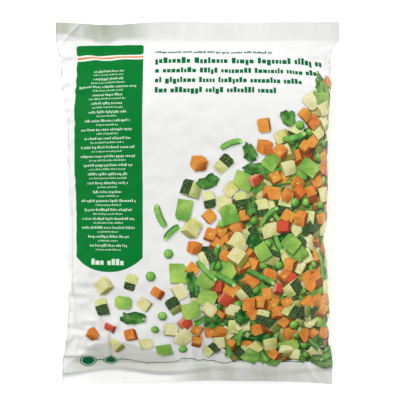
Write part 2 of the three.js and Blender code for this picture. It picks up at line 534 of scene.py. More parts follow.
def soft_noise(rng, shape, passes):
    """Random heights, smoothed over their neighbours, with a spread of 1."""
    heights = smoothed(rng.normal(size=shape), passes)
    return heights / heights.std()


def refined(grid, steps, axis, closed):
    """A smooth curve through the grid's points along one axis, in so many steps for each gap."""
    points = np.moveaxis(grid, axis, 0)
    if closed:
        padded = np.concatenate([points[-1:], points, points[:2]])
    else:
        padded = np.concatenate([2 * points[:1] - points[1:2], points, 2 * points[-1:] - points[-2:-1]])
    a, b, c, d = padded[:-3], padded[1:-2], padded[2:-1], padded[3:]
    between = []
    for step in range(steps):
        t = step / steps
        bend = (2 * a - 5 * b + 4 * c - d) * t**2 + (3 * b - a - 3 * c + d) * t**3
        between.append((2 * b + (c - a) * t + bend) / 2)
    result = np.stack(between, 1).reshape((-1,) + points.shape[1:])
    if not closed:
        result = np.concatenate([result, points[-1:]])
    return np.moveaxis(result, 0, axis)


class FilmRelaxer:
    """Lets film that can't stretch settle round the load, so that its spare length goes into wrinkles."""

    SHEAR = 0.3
    FREE_HEIGHT = 8 * MM

    def __init__(self, grid, target, column_pitch, row_pitch):
        self.grid = grid
        self.target = target
        self.normals = grid_normals(target)
        self.column_pitch = column_pitch
        self.row_pitch = row_pitch
        self.free = np.ones(grid.shape[:2] + (1,))
        self.free[0] = self.free[-1] = 0

    def pull(self, a, b, free_a, free_b, rest, stiffness):
        """Moves two sets of points towards their distance at rest."""
        gap = b - a
        length = np.sqrt((gap * gap).sum(-1, keepdims=True))
        share = stiffness * (length - rest) / np.maximum(length, 1e-12) / np.maximum(free_a + free_b, 1e-9)
        a += free_a * share * gap
        b -= free_b * share * gap

    def pull_rows(self, rest, stiffness, skew=0):
        """Along the bag, or along the diagonals of the grid where skew is 1 or -1."""
        for start in (0, 1):
            end = start + (len(self.grid) - start) // 2 * 2
            lower = self.grid[start:end:2]
            upper = np.roll(self.grid[start + 1 : end : 2], -skew, 1)
            free = self.free[start:end:2], self.free[start + 1 : end : 2]
            self.pull(lower, upper, *free, rest, stiffness)
            self.grid[start + 1 : end : 2] = np.roll(upper, skew, 1)

    def pull_columns(self, rest):
        """Round the bag."""
        even, odd = self.grid[:, 0::2], self.grid[:, 1::2]
        free_even, free_odd = self.free[:, 0::2], self.free[:, 1::2]
        self.pull(even, odd, free_even, free_odd, rest, 1)
        after = np.roll(even, -1, 1)
        self.pull(odd, after, free_odd, free_even, rest, 1)
        self.grid[:, 0::2] = np.roll(after, 1, 1)

    def settle(self, steps, rounds, load, stiffness, glide):
        """load holds the film to the load's surface, stiffness is the film's own against bending,
        and glide is the share of its speed that it keeps."""
        diagonal = math.hypot(self.column_pitch, self.row_pitch)
        before = self.grid.copy()
        for _ in range(steps):
            moved = (self.grid - before) * glide
            before = self.grid.copy()
            self.grid += moved * self.free
            for _ in range(rounds):
                self.pull_rows(self.row_pitch, 1)
                self.pull_columns(self.column_pitch)
                self.pull_rows(diagonal, self.SHEAR, 1)
                self.pull_rows(diagonal, self.SHEAR, -1)
                height = ((self.grid - self.target) * self.normals).sum(-1, keepdims=True)
                held = np.clip(height, -self.FREE_HEIGHT, self.FREE_HEIGHT)
                self.grid -= self.free * (load * held + height - held) * self.normals
                bend = (np.roll(self.grid, 1, 1) + np.roll(self.grid, -1, 1)) / 2 - self.grid
                bend[1:-1] += (self.grid[:-2] + self.grid[2:]) / 2 - self.grid[1:-1]
                self.grid += stiffness / 2 * self.free * bend
                self.grid[..., 2] = np.maximum(self.grid[..., 2], FLOOR_GAP)
        return self.grid


def film_body(settings):
    """The filled part of the film, from seal to seal, with its wrinkles."""
    places = np.linspace(BOTTOM_LINE, TOP_LINE, 4 * COARSE_ROWS + 1)
    sections = np.stack([film_round(y) for y in places])
    rng = np.random.default_rng(settings.wrinkle_seed)
    coarse = even_rows(sections[:, ::REFINE], COARSE_ROWS)
    start = soft_noise(rng, coarse.shape[:2], 1)[..., None]
    start[0] = start[-1] = 0
    pushed = coarse + FIRST_WRINKLES * start * grid_normals(coarse)
    pitches = COLUMN_PITCH * REFINE, FLAT_BODY / COARSE_ROWS
    grid = FilmRelaxer(pushed, coarse, *pitches).settle(settings.coarse_steps, **COARSE_SETTLING)
    grid = refined(refined(grid, REFINE, 1, True), REFINE, 0, False)
    fine = even_rows(sections, BODY_ROWS)
    grid[0], grid[-1] = fine[0], fine[-1]
    pitches = COLUMN_PITCH, FLAT_BODY / BODY_ROWS
    return FilmRelaxer(grid, fine, *pitches).settle(settings.fine_steps, **FINE_SETTLING)


def seal_rows(y_from, y_to, rows, ribs):
    """A flat seal: both layers of film with fine ribs pressed across them."""
    places = np.linspace(y_from, y_to, rows + 1)
    sections = np.stack([film_round(y) for y in places])
    rib = ribs * np.cos(2 * np.pi * np.abs(places - y_from) / RIB_PITCH)
    sections[..., 2] += rib[:, None]
    return sections


def end_creases(seed):
    """Creases that cross the seals: place along X at the seal line, lean, half width, height."""
    rng = random.Random(seed)
    ends = []
    for corner_creases in (TOP_CREASES, BOTTOM_CREASES):
        creases = list(corner_creases)
        x = CREASES_FROM
        while x < CREASES_TO:
            lean = rng.uniform(*CREASE_LEANS)
            width = rng.uniform(*CREASE_WIDTHS) * MM
            creases.append((x, lean, width, rng.uniform(*CREASE_HEIGHTS) * MM))
            x += rng.uniform(*CREASE_GAPS) * MM
        ends.append(creases)
    return ends


def add_end_creases(grid, seed):
    """Runs the creases through both layers of each seal and a little way into the body."""
    for creases, line, way in zip(end_creases(seed), (TOP_LINE, BOTTOM_LINE), (1, -1)):
        out = way * (grid[..., 1] - line)
        in_seal = CREASE_SHARE + (1 - CREASE_SHARE) * np.clip(out / TOP_SEAL, 0, 1)
        share = np.where(out > 0, in_seal, CREASE_SHARE * np.exp(-((out / CREASE_REACH) ** 2)))
        for x, lean, width, height in creases:
            away = (grid[..., 0] - x - lean * out) / width
            grid[..., 2] += share * height * np.exp(-(away**2))


def film_grid(settings):
    """All of the film: bottom seal, body and top seal."""
    body = film_body(settings)
    lumps = soft_noise(np.random.default_rng(settings.wrinkle_seed + 1), body.shape[:2], LUMP_PASSES)
    inward = np.minimum(1, np.minimum(np.arange(BODY_ROWS + 1), np.arange(BODY_ROWS, -1, -1)) / LUMP_ROWS)
    body += (settings.lumps * inward[:, None] * lumps)[..., None] * grid_normals(body)
    face = body[:, : COLUMNS // 2]
    face += side_crease(face)[..., None] * grid_normals(body)[:, : COLUMNS // 2]
    face[..., 2] += relief(face)
    body[..., 0] += side_pushes(body)
    body[..., 2] = np.maximum(body[..., 2], FLOOR_GAP)
    bottom = seal_rows(-BAG_LENGTH / 2, BOTTOM_LINE, BOTTOM_ROWS, settings.seal_ribs)
    top = seal_rows(TOP_LINE, BAG_LENGTH / 2, TOP_ROWS, settings.seal_ribs)
    grid = np.concatenate([bottom[:-1], body, top[1:]])
    add_end_creases(grid, settings.wrinkle_seed)
    grid[..., 2] = np.maximum(grid[..., 2], FLOOR_GAP)
    return grid


def film_slack(grid, short_gain=4, gain=2.5, passes=6):
    """How far each point of the film is wrinkled, 0 to 1: it is shorter than it was flat there, and bends."""
    rows = np.array(ROW_LINES)
    along = np.linalg.norm(np.gradient(grid, axis=0), axis=2) / np.gradient(rows)[:, None]
    round_ = np.linalg.norm(np.roll(grid, -1, 1) - grid, axis=2) / COLUMN_PITCH
    normals = grid_normals(grid)
    bend = np.linalg.norm(np.roll(normals, -1, 1) - normals, axis=2)
    bend += np.linalg.norm(np.gradient(normals, axis=0), axis=2)
    slack = np.clip(1 - along, 0, 1) * short_gain + np.clip(1 - round_, 0, 1) * short_gain + bend
    return np.clip(smoothed(slack, passes) * gain, 0, 1)


def film_faces(rows):
    """The grid's triangles, and those that close the tube at the seals' outer edges."""

    def spot(row, column):
        return row * COLUMNS + column % COLUMNS

    faces, corners = [], []
    for row in range(rows - 1):
        low, high = ROW_LINES[row] / FLAT_LENGTH, ROW_LINES[row + 1] / FLAT_LENGTH
        for column in range(COLUMNS):
            a, b = spot(row, column), spot(row, column + 1)
            c, d = spot(row + 1, column + 1), spot(row + 1, column)
            left, right = column / COLUMNS, (column + 1) / COLUMNS
            faces += [(a, b, c), (a, c, d)]
            corners += [(left, low), (right, low), (right, high), (left, low), (right, high), (left, high)]
    half = COLUMNS // 2
    for row, turned in ((0, False), (rows - 1, True)):
        for column in range(half):
            a, b = spot(row, column), spot(row, column + 1)
            c, d = spot(row, -column - 1), spot(row, -column)
            for face in ((b, a, d), (b, d, c)):
                if len(set(face)) == 3:
                    faces.append(face[::-1] if turned else face)
                    edge = ROW_LINES[row] / FLAT_LENGTH
                    corners += [(column / COLUMNS, edge)] * 3
    return faces, corners


def make_film(settings):
    grid = film_grid(settings)
    faces, corners = film_faces(len(grid))
    mesh = bpy.data.meshes.new("film")
    mesh.from_pydata(grid.reshape(-1, 3).tolist(), [], faces)
    mesh.uv_layers.new(name="flat").data.foreach_set("uv", np.array(corners, dtype=np.float32).ravel())
    slack = mesh.attributes.new("slack", "FLOAT", "POINT")
    slack.data.foreach_set("value", film_slack(grid).astype(np.float32).ravel())
    mesh.shade_smooth()
    facing = mesh.attributes.new("facing", "FLOAT_VECTOR", "POINT")
    normals = np.empty(len(mesh.vertices) * 3, dtype=np.float32)
    mesh.vertex_normals.foreach_get("vector", normals)
    facing.data.foreach_set("vector", normals)
    return link(mesh)


# Print


def divide(outline, distances):
    """The two parts of a convex outline below and above a line, by its corners' distances from it."""
    below, above = [], []
    last, last_distance = outline[-1], distances[-1]
    for corner, distance in zip(outline, distances):
        if (last_distance < 0) != (distance < 0):
            share = last_distance / (last_distance - distance)
            crossing = tuple(a + (b - a) * share for a, b in zip(last, corner))
            below.append(crossing)
            above.append(crossing)
        (below if distance < 0 else above).append(corner)
        last, last_distance = corner, distance
    return below, above


def size_of(outline):
    """Area of a flat outline."""
    return sum(a[0] * b[1] - b[0] * a[1] for a, b in zip(outline, outline[1:] + outline[:1])) / 2


def in_grid(outline):
    """The parts of a convex outline in each triangle of the film, so that print lies on it everywhere."""
    rest = outline
    column = int(min(p[0] for p in outline) // COLUMN_PITCH)
    while len(rest) > 2:
        right = (column + 1) * COLUMN_PITCH
        strip, rest = divide(rest, [p[0] - right for p in rest])
        if len(strip) > 2:
            row = bisect.bisect_right(ROW_LINES, min(p[1] for p in strip)) - 1
            while len(strip) > 2:
                low, high = ROW_LINES[row], ROW_LINES[row + 1]
                cell, strip = divide(strip, [p[1] - high for p in strip])
                if len(cell) > 2:
                    left = right - COLUMN_PITCH
                    slope = (high - low) / COLUMN_PITCH
                    tilted = [p[1] - low - slope * (p[0] - left) for p in cell]
                    for part in divide(cell, tilted):
                        if len(part) > 2 and size_of(part) > SMALLEST_PART:
                            yield part
                row += 1
        column += 1


class Print:
    """Flat shapes of one ink, each a convex outline of (s, t, value, ...) corners."""

    def __init__(self, name, *values):
        self.name = name
        self.values = values
        self.points, self.faces, self.index = [], [], {}

    def add(self, outline, level=0.0):
        """Adds a shape, as it lies on the film's triangles. It may run either way round."""
        if size_of(outline) < 0:
            outline = outline[::-1]
        key = len(self.faces)
        for part in in_grid(outline):
            face = []
            for corner in part:
                spot = (key, round(corner[0], 7), round(corner[1], 7))
                if spot not in self.index:
                    self.index[spot] = len(self.points)
                    self.points.append((*corner, level))
                if self.index[spot] not in face:
                    face.append(self.index[spot])
            if len(face) > 2:
                self.faces.append(face)

    def flat_mesh(self):
        mesh = bpy.data.meshes.new(self.name)
        spots = [(p[0], p[1], p[-1] * LAYER_LIFT) for p in self.points]
        mesh.from_pydata(spots, [], self.faces)
        for number, name in enumerate(self.values):
            layer = mesh.attributes.new(name, "FLOAT", "POINT")
            layer.data.foreach_set("value", [p[2 + number] for p in self.points])
        uv = mesh.uv_layers.new(name="flat")
        for corner, place in zip(mesh.loops, uv.data):
            s, t = spots[corner.vertex_index][:2]
            place.uv = (s / FLAT_ROUND, t / FLAT_LENGTH)
        return mesh


def link(mesh):
    """An object at the origin for a mesh."""
    thing = bpy.data.objects.new(mesh.name, mesh)
    bpy.context.collection.objects.link(thing)
    return thing


def nodes_group(name, inputs):
    """An empty Geometry Nodes tree with a geometry input and output and the named inputs."""
    tree = bpy.data.node_groups.new(name, "GeometryNodeTree")
    tree.interface.new_socket("Geometry", in_out="INPUT", socket_type="NodeSocketGeometry")
    for label, kind, default in inputs:
        socket = tree.interface.new_socket(label, in_out="INPUT", socket_type=kind)
        if default is not None:
            socket.default_value = default
    tree.interface.new_socket("Geometry", in_out="OUTPUT", socket_type="NodeSocketGeometry")
    graph = Graph(tree)
    given = graph.node("NodeGroupInput").outputs
    return graph, given


def end_group(graph, geometry, material):
    """Realizes the instances, sets the material and ends the tree."""
    real = graph.node("GeometryNodeRealizeInstances", None, {"Geometry": geometry}).outputs[0]
    done = graph.node("GeometryNodeSetMaterial", None, {"Geometry": real, "Material": material}).outputs[0]
    graph.node("NodeGroupOutput", None, {"Geometry": done})


def wrap_nodes():
    """Lays a flat print, with x and y as its place on the flat film, onto the filled film."""
    inputs = (
        ("Film", "NodeSocketObject", None),
        ("Lift", "NodeSocketFloat", PRINT_LIFT),
        ("Material", "NodeSocketMaterial", None),
    )
    graph, given = nodes_group("Wrap on film", inputs)
    film = graph.node("GeometryNodeObjectInfo", None, {"Object": given["Film"]}).outputs["Geometry"]
    s, t, level = graph.parts(graph.node("GeometryNodeInputPosition").outputs[0])
    spot = graph.joined(s / FLAT_ROUND, t / FLAT_LENGTH, 0.0)

    def carried(kind, name):
        node = graph.node("GeometryNodeInputNamedAttribute", {"data_type": kind}, {"Name": name})
        return node.outputs["Attribute"]

    def on_film(kind, value):
        inputs = {"Mesh": film, "Value": value, 2: carried("FLOAT_VECTOR", "flat"), 3: spot}
        node = graph.node("GeometryNodeSampleUVSurface", {"data_type": kind}, inputs)
        return node.outputs["Value"]

    place = on_film("FLOAT_VECTOR", graph.node("GeometryNodeInputPosition").outputs[0])
    facing = on_film("FLOAT_VECTOR", carried("FLOAT_VECTOR", "facing"))
    slack = on_film("FLOAT", carried("FLOAT", "slack"))
    geometry = given["Geometry"]
    for kind, name, value in (("FLOAT", "slack", slack), ("FLOAT_VECTOR", "facing", facing)):
        settings = {"data_type": kind, "domain": "POINT"}
        inputs = {"Geometry": geometry, "Name": name, "Value": value}
        geometry = graph.node("GeometryNodeStoreNamedAttribute", settings, inputs).outputs["Geometry"]
    height = level + Wire(graph, given["Lift"])
    raised = graph.node("ShaderNodeVectorMath", {"operation": "SCALE"}, {0: facing, "Scale": height})
    lifted = graph.vector("ADD", place, raised.outputs["Vector"])
    moved = graph.node("GeometryNodeSetPosition", None, {"Geometry": geometry, "Position": lifted})
    end_group(graph, moved.outputs["Geometry"], given["Material"])
    return graph.tree


def applied(thing, tree, values, name):
    """The plain mesh that a Geometry Nodes tree makes of an object, as a new object."""
    modifier = thing.modifiers.new(tree.name, "NODES")
    modifier.node_group = tree
    for socket in tree.interface.items_tree:
        if socket.in_out == "INPUT" and socket.name in values:
            modifier[socket.identifier] = values[socket.name]
    bpy.context.view_layer.update()
    graph = bpy.context.evaluated_depsgraph_get()
    mesh = bpy.data.meshes.new_from_object(thing.evaluated_get(graph))
    flat = thing.data
    bpy.data.objects.remove(thing)
    bpy.data.meshes.remove(flat)
    mesh.name = name
    return link(mesh)


def wrap(sheet, finish, lift=PRINT_LIFT):
    """Lays a Print onto the film as a finished piece."""
    flat = link(sheet.flat_mesh())
    tree = bpy.data.node_groups.get("Wrap on film") or wrap_nodes()
    values = {"Film": bpy.data.objects["film"], "Lift": lift, "Material": finish}
    piece = applied(flat, tree, values, sheet.name)
    mesh = piece.data
    facing = np.empty(len(mesh.vertices) * 3, dtype=np.float32)
    mesh.attributes["facing"].data.foreach_get("vector", facing)
    mesh.attributes.remove(mesh.attributes["facing"])
    mesh.shade_smooth()
    mesh.normals_split_custom_set_from_vertices(facing.reshape(-1, 3).tolist())
    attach(piece, "root")
    return piece


# Finishes


def crinkled(finish):
    """The film's fine crinkles as a bump, stronger where the film is slack."""
    place = finish.place()
    slack = finish.carried("slack")
    fold = abs(finish.noise(place, 70, 3, 0.55) - 0.5) * 2
    crease = (1 - fold.between(0, 0.35)) * slack
    fine = finish.noise(place, 260, 2)
    height = crease * 0.5 + finish.noise(place, 38, 2) * (0.35 + slack) + fine * 0.12
    inputs = {"Height": height, "Distance": 0.5 * MM, "Strength": 0.45}
    return finish.node("ShaderNodeBump", None, inputs).outputs["Normal"]


def gloss(finish):
    """The film's satin gloss, a little uneven."""
    return 0.28 + finish.noise(finish.place(), 45, 3) * 0.12


INK_GLOSS = {"IOR": 1.45, "Specular_IOR_Level": 0.06}
# Where light and shade are painted into the film's tone, s across the flat film and t along it: a painted
# highlight near the top seal, and painted shade on the top seal at its left end, in a fold beside that end
# and as far as the middle.
HIGHLIGHT_SPAN = (285 * MM, 345 * MM)
HIGHLIGHT_TONE = colour(236, 236, 236)
SEAL_END = (8 * MM, 26 * MM)
SEAL_FOLD, SEAL_FOLD_SPAN = 56 * MM, (2 * MM, 11 * MM)
TOP_SEAL_SHADE_SPAN = (62 * MM, 112 * MM)
TOP_SEAL_SHADE_TONE = colour(178, 186, 168)
# The lower edge of that painted shade: its height above the seal line in millimetres, how much higher it is
# at the left end and lower in a dip, the dip's place and span, and half the width of the edge.
SEAL_EDGE, SEAL_EDGE_END, SEAL_EDGE_DIP = 3.2, 5, 6.5
SEAL_DIP, SEAL_DIP_SPAN = 51 * MM, (3 * MM, 17 * MM)
SEAL_EDGE_HALF = 2.2 * MM
# Painted shade on the slack film between the fold's ridge and the outer band of the bottom seal, a painted
# highlight on the band, and where along X both end and painted shade on the seal further right begins.
SLACK_SHADE_TONE, BAND_HIGHLIGHT_TONE, RIGHT_SEAL_SHADE_TONE = colour(206, 208, 201), colour(252, 252, 251), colour(188, 191, 178)
BAND_END = (-34 * MM, -8 * MM)
BAND_EDGE, RIDGE_EDGE = (-1.2 * MM, 1 * MM), (-1.5 * MM, 1.5 * MM)
RIGHT_SEAL_SHADE_SPAN = (20 * MM, 27 * MM)


def top_seal_shade(finish, s, t, streak):
    """How much shade is painted on the film along the top seal."""
    dip = 1 - abs(s - SEAL_DIP).between(*SEAL_DIP_SPAN)
    fold = 1 - abs(s - SEAL_FOLD).between(*SEAL_FOLD_SPAN)
    end = 1 - s.between(*SEAL_END)
    edge = BODY_END + (SEAL_EDGE + end * SEAL_EDGE_END - dip * SEAL_EDGE_DIP) * MM
    painted_shade = 0.34 + streak * 0.3 + end * 0.55 + fold * 0.3
    painted_shade = painted_shade * (1 - s.between(*TOP_SEAL_SHADE_SPAN)) + streak * 0.12
    return painted_shade * (t - edge).between(-SEAL_EDGE_HALF, SEAL_EDGE_HALF)


def bottom_light_and_shade_masks(finish):
    """Where shade is painted on the slack film over the bottom seal, and where a highlight is painted on the
    seal's outer band and shade on the seal further right.
    """
    x, y, _ = finish.parts(finish.place())
    height, pitch, shift = SEAL_DROP_WAVE
    line = finish.math("COSINE", x * (2 * math.pi / pitch) + shift) * height + SEAL_DROP_LINE
    right = x.between(*BAND_END)
    inner = (y - line).between(*BAND_EDGE)
    ridge = 0.0
    for (x0, y0), (x1, y1) in zip(SLACK_LINE, SLACK_LINE[1:]):
        ridge = finish.math("MINIMUM", ridge, (x - x0) * ((y1 - y0) / (x1 - x0)) + y0)
    slack = inner * (1 - right) * (1 - (y - ridge).between(*RIDGE_EDGE))
    return slack, (1 - inner) * (1 - right), right


def film_finish(settings):
    """White film, a little uneven, with light and shade painted near and on its seals."""
    finish = Finish("film", IOR=1.5, Coat_Weight=0.1, Coat_Roughness=0.25)
    tint = tuple(settings.tint)
    s, t, _ = finish.parts(finish.flat())
    mottle = finish.noise(finish.place(), 30, 3)
    drawn_out = finish.vector("MULTIPLY", finish.place(), (1.0, 0.3, 0.3))
    streak = finish.noise(drawn_out, 38, 2).between(0.36, 0.62)
    bright = t.between(*HIGHLIGHT_SPAN) * (1 - t.between(BODY_END - 2 * MM, BODY_END + 2 * MM))
    slack, band, right_seal_shade = bottom_light_and_shade_masks(finish)
    base = tint
    # Painted light and shade on the film: a highlight near the top seal, shade on the top seal, on the slack
    # corner and on the bottom seal's right part, and a highlight on that seal's outer band.
    for share, tone in (
        (mottle.between(0.35, 0.65) * 0.5, tuple(0.955 * v for v in tint)),
        (bright * 0.6, HIGHLIGHT_TONE),
        (top_seal_shade(finish, s, t, streak), TOP_SEAL_SHADE_TONE),
        (slack * 0.9, SLACK_SHADE_TONE),
        (band * 0.65, BAND_HIGHLIGHT_TONE),
        ((1 - t.between(*RIGHT_SEAL_SHADE_SPAN)) * right_seal_shade * (0.25 + streak * 0.5), RIGHT_SEAL_SHADE_TONE),
    ):
        base = finish.blend(share, base, tone)
    finish.set(Base_Color=base, Roughness=gloss(finish), Normal=crinkled(finish))
    return finish.material


def ink(name, main, worn=0.1):
    """Flat ink, slightly uneven, under the film's gloss."""
    finish = Finish(name, **INK_GLOSS)
    patch = finish.noise(finish.flat(), 120, 3).between(0.35, 0.7)
    base = finish.blend(patch * worn, main, tuple(min(1.0, 0.8 * v + 0.015) for v in main))
    finish.set(Base_Color=base, Roughness=gloss(finish), Normal=crinkled(finish))
    return finish.material


# Label panel, stripe and lines


def strip_outline(left, right, low, high):
    return [(left, low), (right, low), (right, high), (left, high)]


def rounded_outline(left, right, low, high, radius, sides=5):
    """A rectangle with round corners."""
    corners = ((right - radius, high - radius, 0), (left + radius, high - radius, 90))
    corners += ((left + radius, low + radius, 180), (right - radius, low + radius, 270))
    outline = []
    for s, t, start in corners:
        for step in range(sides + 1):
            turn = math.radians(start + 90 * step / sides)
            outline.append((s + radius * math.cos(turn), t + radius * math.sin(turn)))
    return outline


def panel_outline(settings):
    """The label panel: straight sides and top, and a lower edge that bows down."""
    left, right = settings.panel_left, settings.panel_left + settings.panel_width
    half, bow = settings.panel_width / 2, settings.panel_bow
    radius = (half**2 + bow**2) / (2 * bow)
    reach = math.asin(half / radius)
    outline = []
    for step in range(25):
        turn = mix(-reach, reach, step / 24)
        s = left + half + radius * math.sin(turn)
        t = settings.panel_shoulder + (radius - bow) - radius * math.cos(turn)
        outline.append((s, t))
    return outline + [(right, settings.panel_top), (left, settings.panel_top)]


def block_rows_nodes():
    """Rows of small plain blocks."""
    inputs = (
        ("Rows", "NodeSocketInt", 1),
        ("Row Pitch", "NodeSocketFloat", 9 * MM),
        ("Line Length", "NodeSocketFloat", 60 * MM),
        ("Shortest", "NodeSocketFloat", 1.0),
        ("Block Height", "NodeSocketFloat", 2 * MM),
        ("Block Width", "NodeSocketFloat", 1.4 * MM),
        ("Gap", "NodeSocketFloat", 0.26),
        ("Centred", "NodeSocketFloat", 0.0),
        ("Seed", "NodeSocketInt", 1),
        ("Material", "NodeSocketMaterial", None),
    )
    graph, given = nodes_group("Block rows", inputs)
    most = 90  # blocks drawn for a row, those past its end among them
    widths = (0.55, 1.25)
    parting, parting_width = 0.15, 0.9  # share of the blocks after which a row parts, and how wide
    low, tall, tall_share, hanging_from = 0.66, 0.3, 0.3, 0.9
    hanging_height, hanging_depth = 0.24, 0.26

    def number(name):
        return Wire(graph, given[name])

    def draw(low, high, mark, seed):
        inputs = {2: low, 3: high, "ID": mark, "Seed": number("Seed") + seed}
        node = graph.node("FunctionNodeRandomValue", {"data_type": "FLOAT"}, inputs)
        return Wire(graph, node.outputs[1])

    spot = Wire(graph, graph.node("GeometryNodeInputIndex").outputs[0])
    row = ((spot + 0.5) / most).floor()
    width = number("Block Width") * draw(*widths, spot, 0)
    parted = (spot * 0.618 + number("Seed") * 0.37) % 1.0 < parting
    step = width + number("Block Width") * (number("Gap") + parted * parting_width)
    inputs = {"Value": step, "Group ID": row}
    running = graph.node("GeometryNodeAccumulateField", {"data_type": "FLOAT"}, inputs)
    start = Wire(graph, running.outputs["Trailing"])
    length = number("Line Length") * draw(number("Shortest"), 1.0, row, 23)
    kind = draw(0.0, 1.0, spot, 37)
    hanging = kind > hanging_from
    height = number("Block Height") * (low + (kind < tall_share) * tall + hanging * hanging_height)
    x = start + width / 2 - length * number("Centred")
    y = height / 2 - row * number("Row Pitch") - hanging * number("Block Height") * hanging_depth
    points = graph.node("GeometryNodePoints", None, {"Count": number("Rows") * most})
    kept = graph.node("GeometryNodeCaptureAttribute", None, {"Geometry": points.outputs[0]})
    size, over = graph.joined(width, height, 1.0), start + width > length
    for kind, label, value in (("VECTOR", "Size", size), ("FLOAT", "Over", over)):
        kept.capture_items.new(kind, label)
        graph.plug(kept.inputs[label], value)
    inputs = {"Geometry": kept.outputs["Geometry"], "Position": graph.joined(x, y, 0.0)}
    spread = graph.node("GeometryNodeSetPosition", None, inputs)
    inputs = {"Geometry": spread.outputs["Geometry"], "Selection": kept.outputs["Over"]}
    left = graph.node("GeometryNodeDeleteGeometry", {"domain": "POINT"}, inputs).outputs[0]
    square = {"Size X": 1.0, "Size Y": 1.0, "Vertices X": 2, "Vertices Y": 2}
    block = graph.node("GeometryNodeMeshGrid", None, square).outputs["Mesh"]
    inputs = {"Points": left, "Instance": block, "Scale": kept.outputs["Size"]}
    placed = graph.node("GeometryNodeInstanceOnPoints", None, inputs)
    end_group(graph, placed.outputs[0], given["Material"])
    return graph.tree


def block_rows(s, t, turned=False, **values):
    """Outlines of rows of blocks, the first row's foot at the place (s, t)."""
    tree = bpy.data.node_groups.get("Block rows") or block_rows_nodes()
    named = {key.replace("_", " ").title(): value for key, value in values.items()}
    blocks = applied(link(bpy.data.meshes.new("blocks")), tree, named, "blocks")
    outlines = []
    for face in blocks.data.polygons:
        corners = [blocks.data.vertices[v].co for v in face.vertices]
        outlines.append([(s - c.y, t + c.x) if turned else (s + c.x, t + c.y) for c in corners])
    bpy.data.objects.remove(blocks)
    return outlines


def block_sizes(length, height, width):
    """A row's sizes for block_rows, from millimetres."""
    return {"line_length": length * MM, "block_height": height * MM, "block_width": width * MM}


def add_all(sheet, outlines, level=0.0):
    for outline in outlines:
        sheet.add(outline, level)


# Pictured vegetables


PICTURE_LIGHT = Vector((-0.35, 0.5, 0.79)).normalized()  # from where the pictured pieces are lit
UNLIT = 0.16  # brightness of a side that is turned away from it
GLOW = 0.2  # how much brighter a block gets across itself towards the light
LEAST_FACING = 0.06  # sides that face the viewer less than this aren't drawn
CORE_OFTEN = 0.2  # share of the carrots that show their core


def lit(normal):
    """Brightness of a pictured side."""
    return UNLIT + (1 - UNLIT) * max(0.0, normal.dot(PICTURE_LIGHT))


def softened(corners, sharp, share=0.2):
    """An outline with its corners cut twice, apart from the sharp ones."""
    result = []
    for number, corner in enumerate(corners):
        if number in sharp:
            result.append(corner)
            continue
        before, after = corners[number - 1], corners[(number + 1) % len(corners)]
        a = corner + (before - corner) * share
        b = corner + (after - corner) * share
        result += [a, (a + b) * 5 / 12 + corner / 6, b]
    return result


# Each pictured piece is a list of facets, (corners, part, lift): corners are (x, y, shade, u, v), with x and
# y from the piece's middle and u and v in its own frame, part is 1 on a skin, core, gleam or cut end and 0 on
# the rest, and lift is how far the facet lies above the rest.


def cut_block(rng, half, lean, skin=None):
    """A cut block at a random turn, seen from above: a facet for each side that shows."""
    turn = Quaternion((0, 0, 1), rng.uniform(0, 2 * math.pi)) @ lean
    shown = []
    for across in range(3):
        for side in (-1, 1):
            normal = Vector((0, 0, 0))
            normal[across] = side
            if (turn @ normal).z < LEAST_FACING:
                continue
            u, v = (across + 1) % 3, (across + 2) % 3
            corners = []
            for a, b in ((-1, -1), (1, -1), (1, 1), (-1, 1)):
                corner = normal * half[across]
                corner[u], corner[v] = a * half[u], b * half[v]
                corners.append(corner)
            shown.append((normal, corners, u, v, 1.0 if skin == (across, side) else 0.0))
    uses = {}
    for _, corners, *_ in shown:
        for corner in corners:
            uses[tuple(corner)] = uses.get(tuple(corner), 0) + 1
    facets = []
    for normal, corners, u, v, part in shown:
        sharp = {n for n, corner in enumerate(corners) if uses[tuple(corner)] > 1}
        shade = lit(turn @ normal)
        outline = []
        for corner in softened(corners, sharp):
            place = turn @ corner
            glow = GLOW * place.dot(PICTURE_LIGHT) / max(half)
            outline.append((place.x, place.y, shade + glow, corner[u], corner[v]))
        facets.append((outline, part, 0.0))
    return facets


def leaning(rng, least, most):
    """A lean by a random angle to a random side."""
    way = rng.uniform(0, 2 * math.pi)
    return Quaternion((math.cos(way), math.sin(way), 0), rng.uniform(least, most))


def disc(middle, wide, high, shade, sides=10):
    """The corners of a small oval."""
    corners = []
    for side in range(sides):
        turn = 2 * math.pi * side / sides
        x, y = wide * math.cos(turn), high * math.sin(turn)
        corners.append((middle[0] + x, middle[1] + y, shade, x, y))
    return corners


def pea(radius, sides=12):
    """A ball: a disc in two rings, lit as a ball is, with a small gleam."""

    def ring(share):
        points = []
        for side in range(sides):
            turn = 2 * math.pi * side / sides
            x, y = share * math.cos(turn), share * math.sin(turn)
            normal = Vector((x, y, math.sqrt(max(0.0, 1 - share**2))))
            points.append((x * radius, y * radius, lit(normal), x * radius, y * radius))
        return points

    middle = (0.0, 0.0, lit(Vector((0, 0, 1))), 0.0, 0.0)
    inner, outer = ring(0.55), ring(0.97)
    facets = []
    for side in range(sides):
        after = (side + 1) % sides
        facets.append(([middle, inner[side], inner[after]], 0.0, 0.0))
        facets.append(([inner[side], outer[side], outer[after], inner[after]], 0.0, 0.0))
    gleam = disc((-0.3 * radius, 0.38 * radius), 0.2 * radius, 0.16 * radius, 1.0)
    return facets + [(gleam, 1.0, 0.3)]


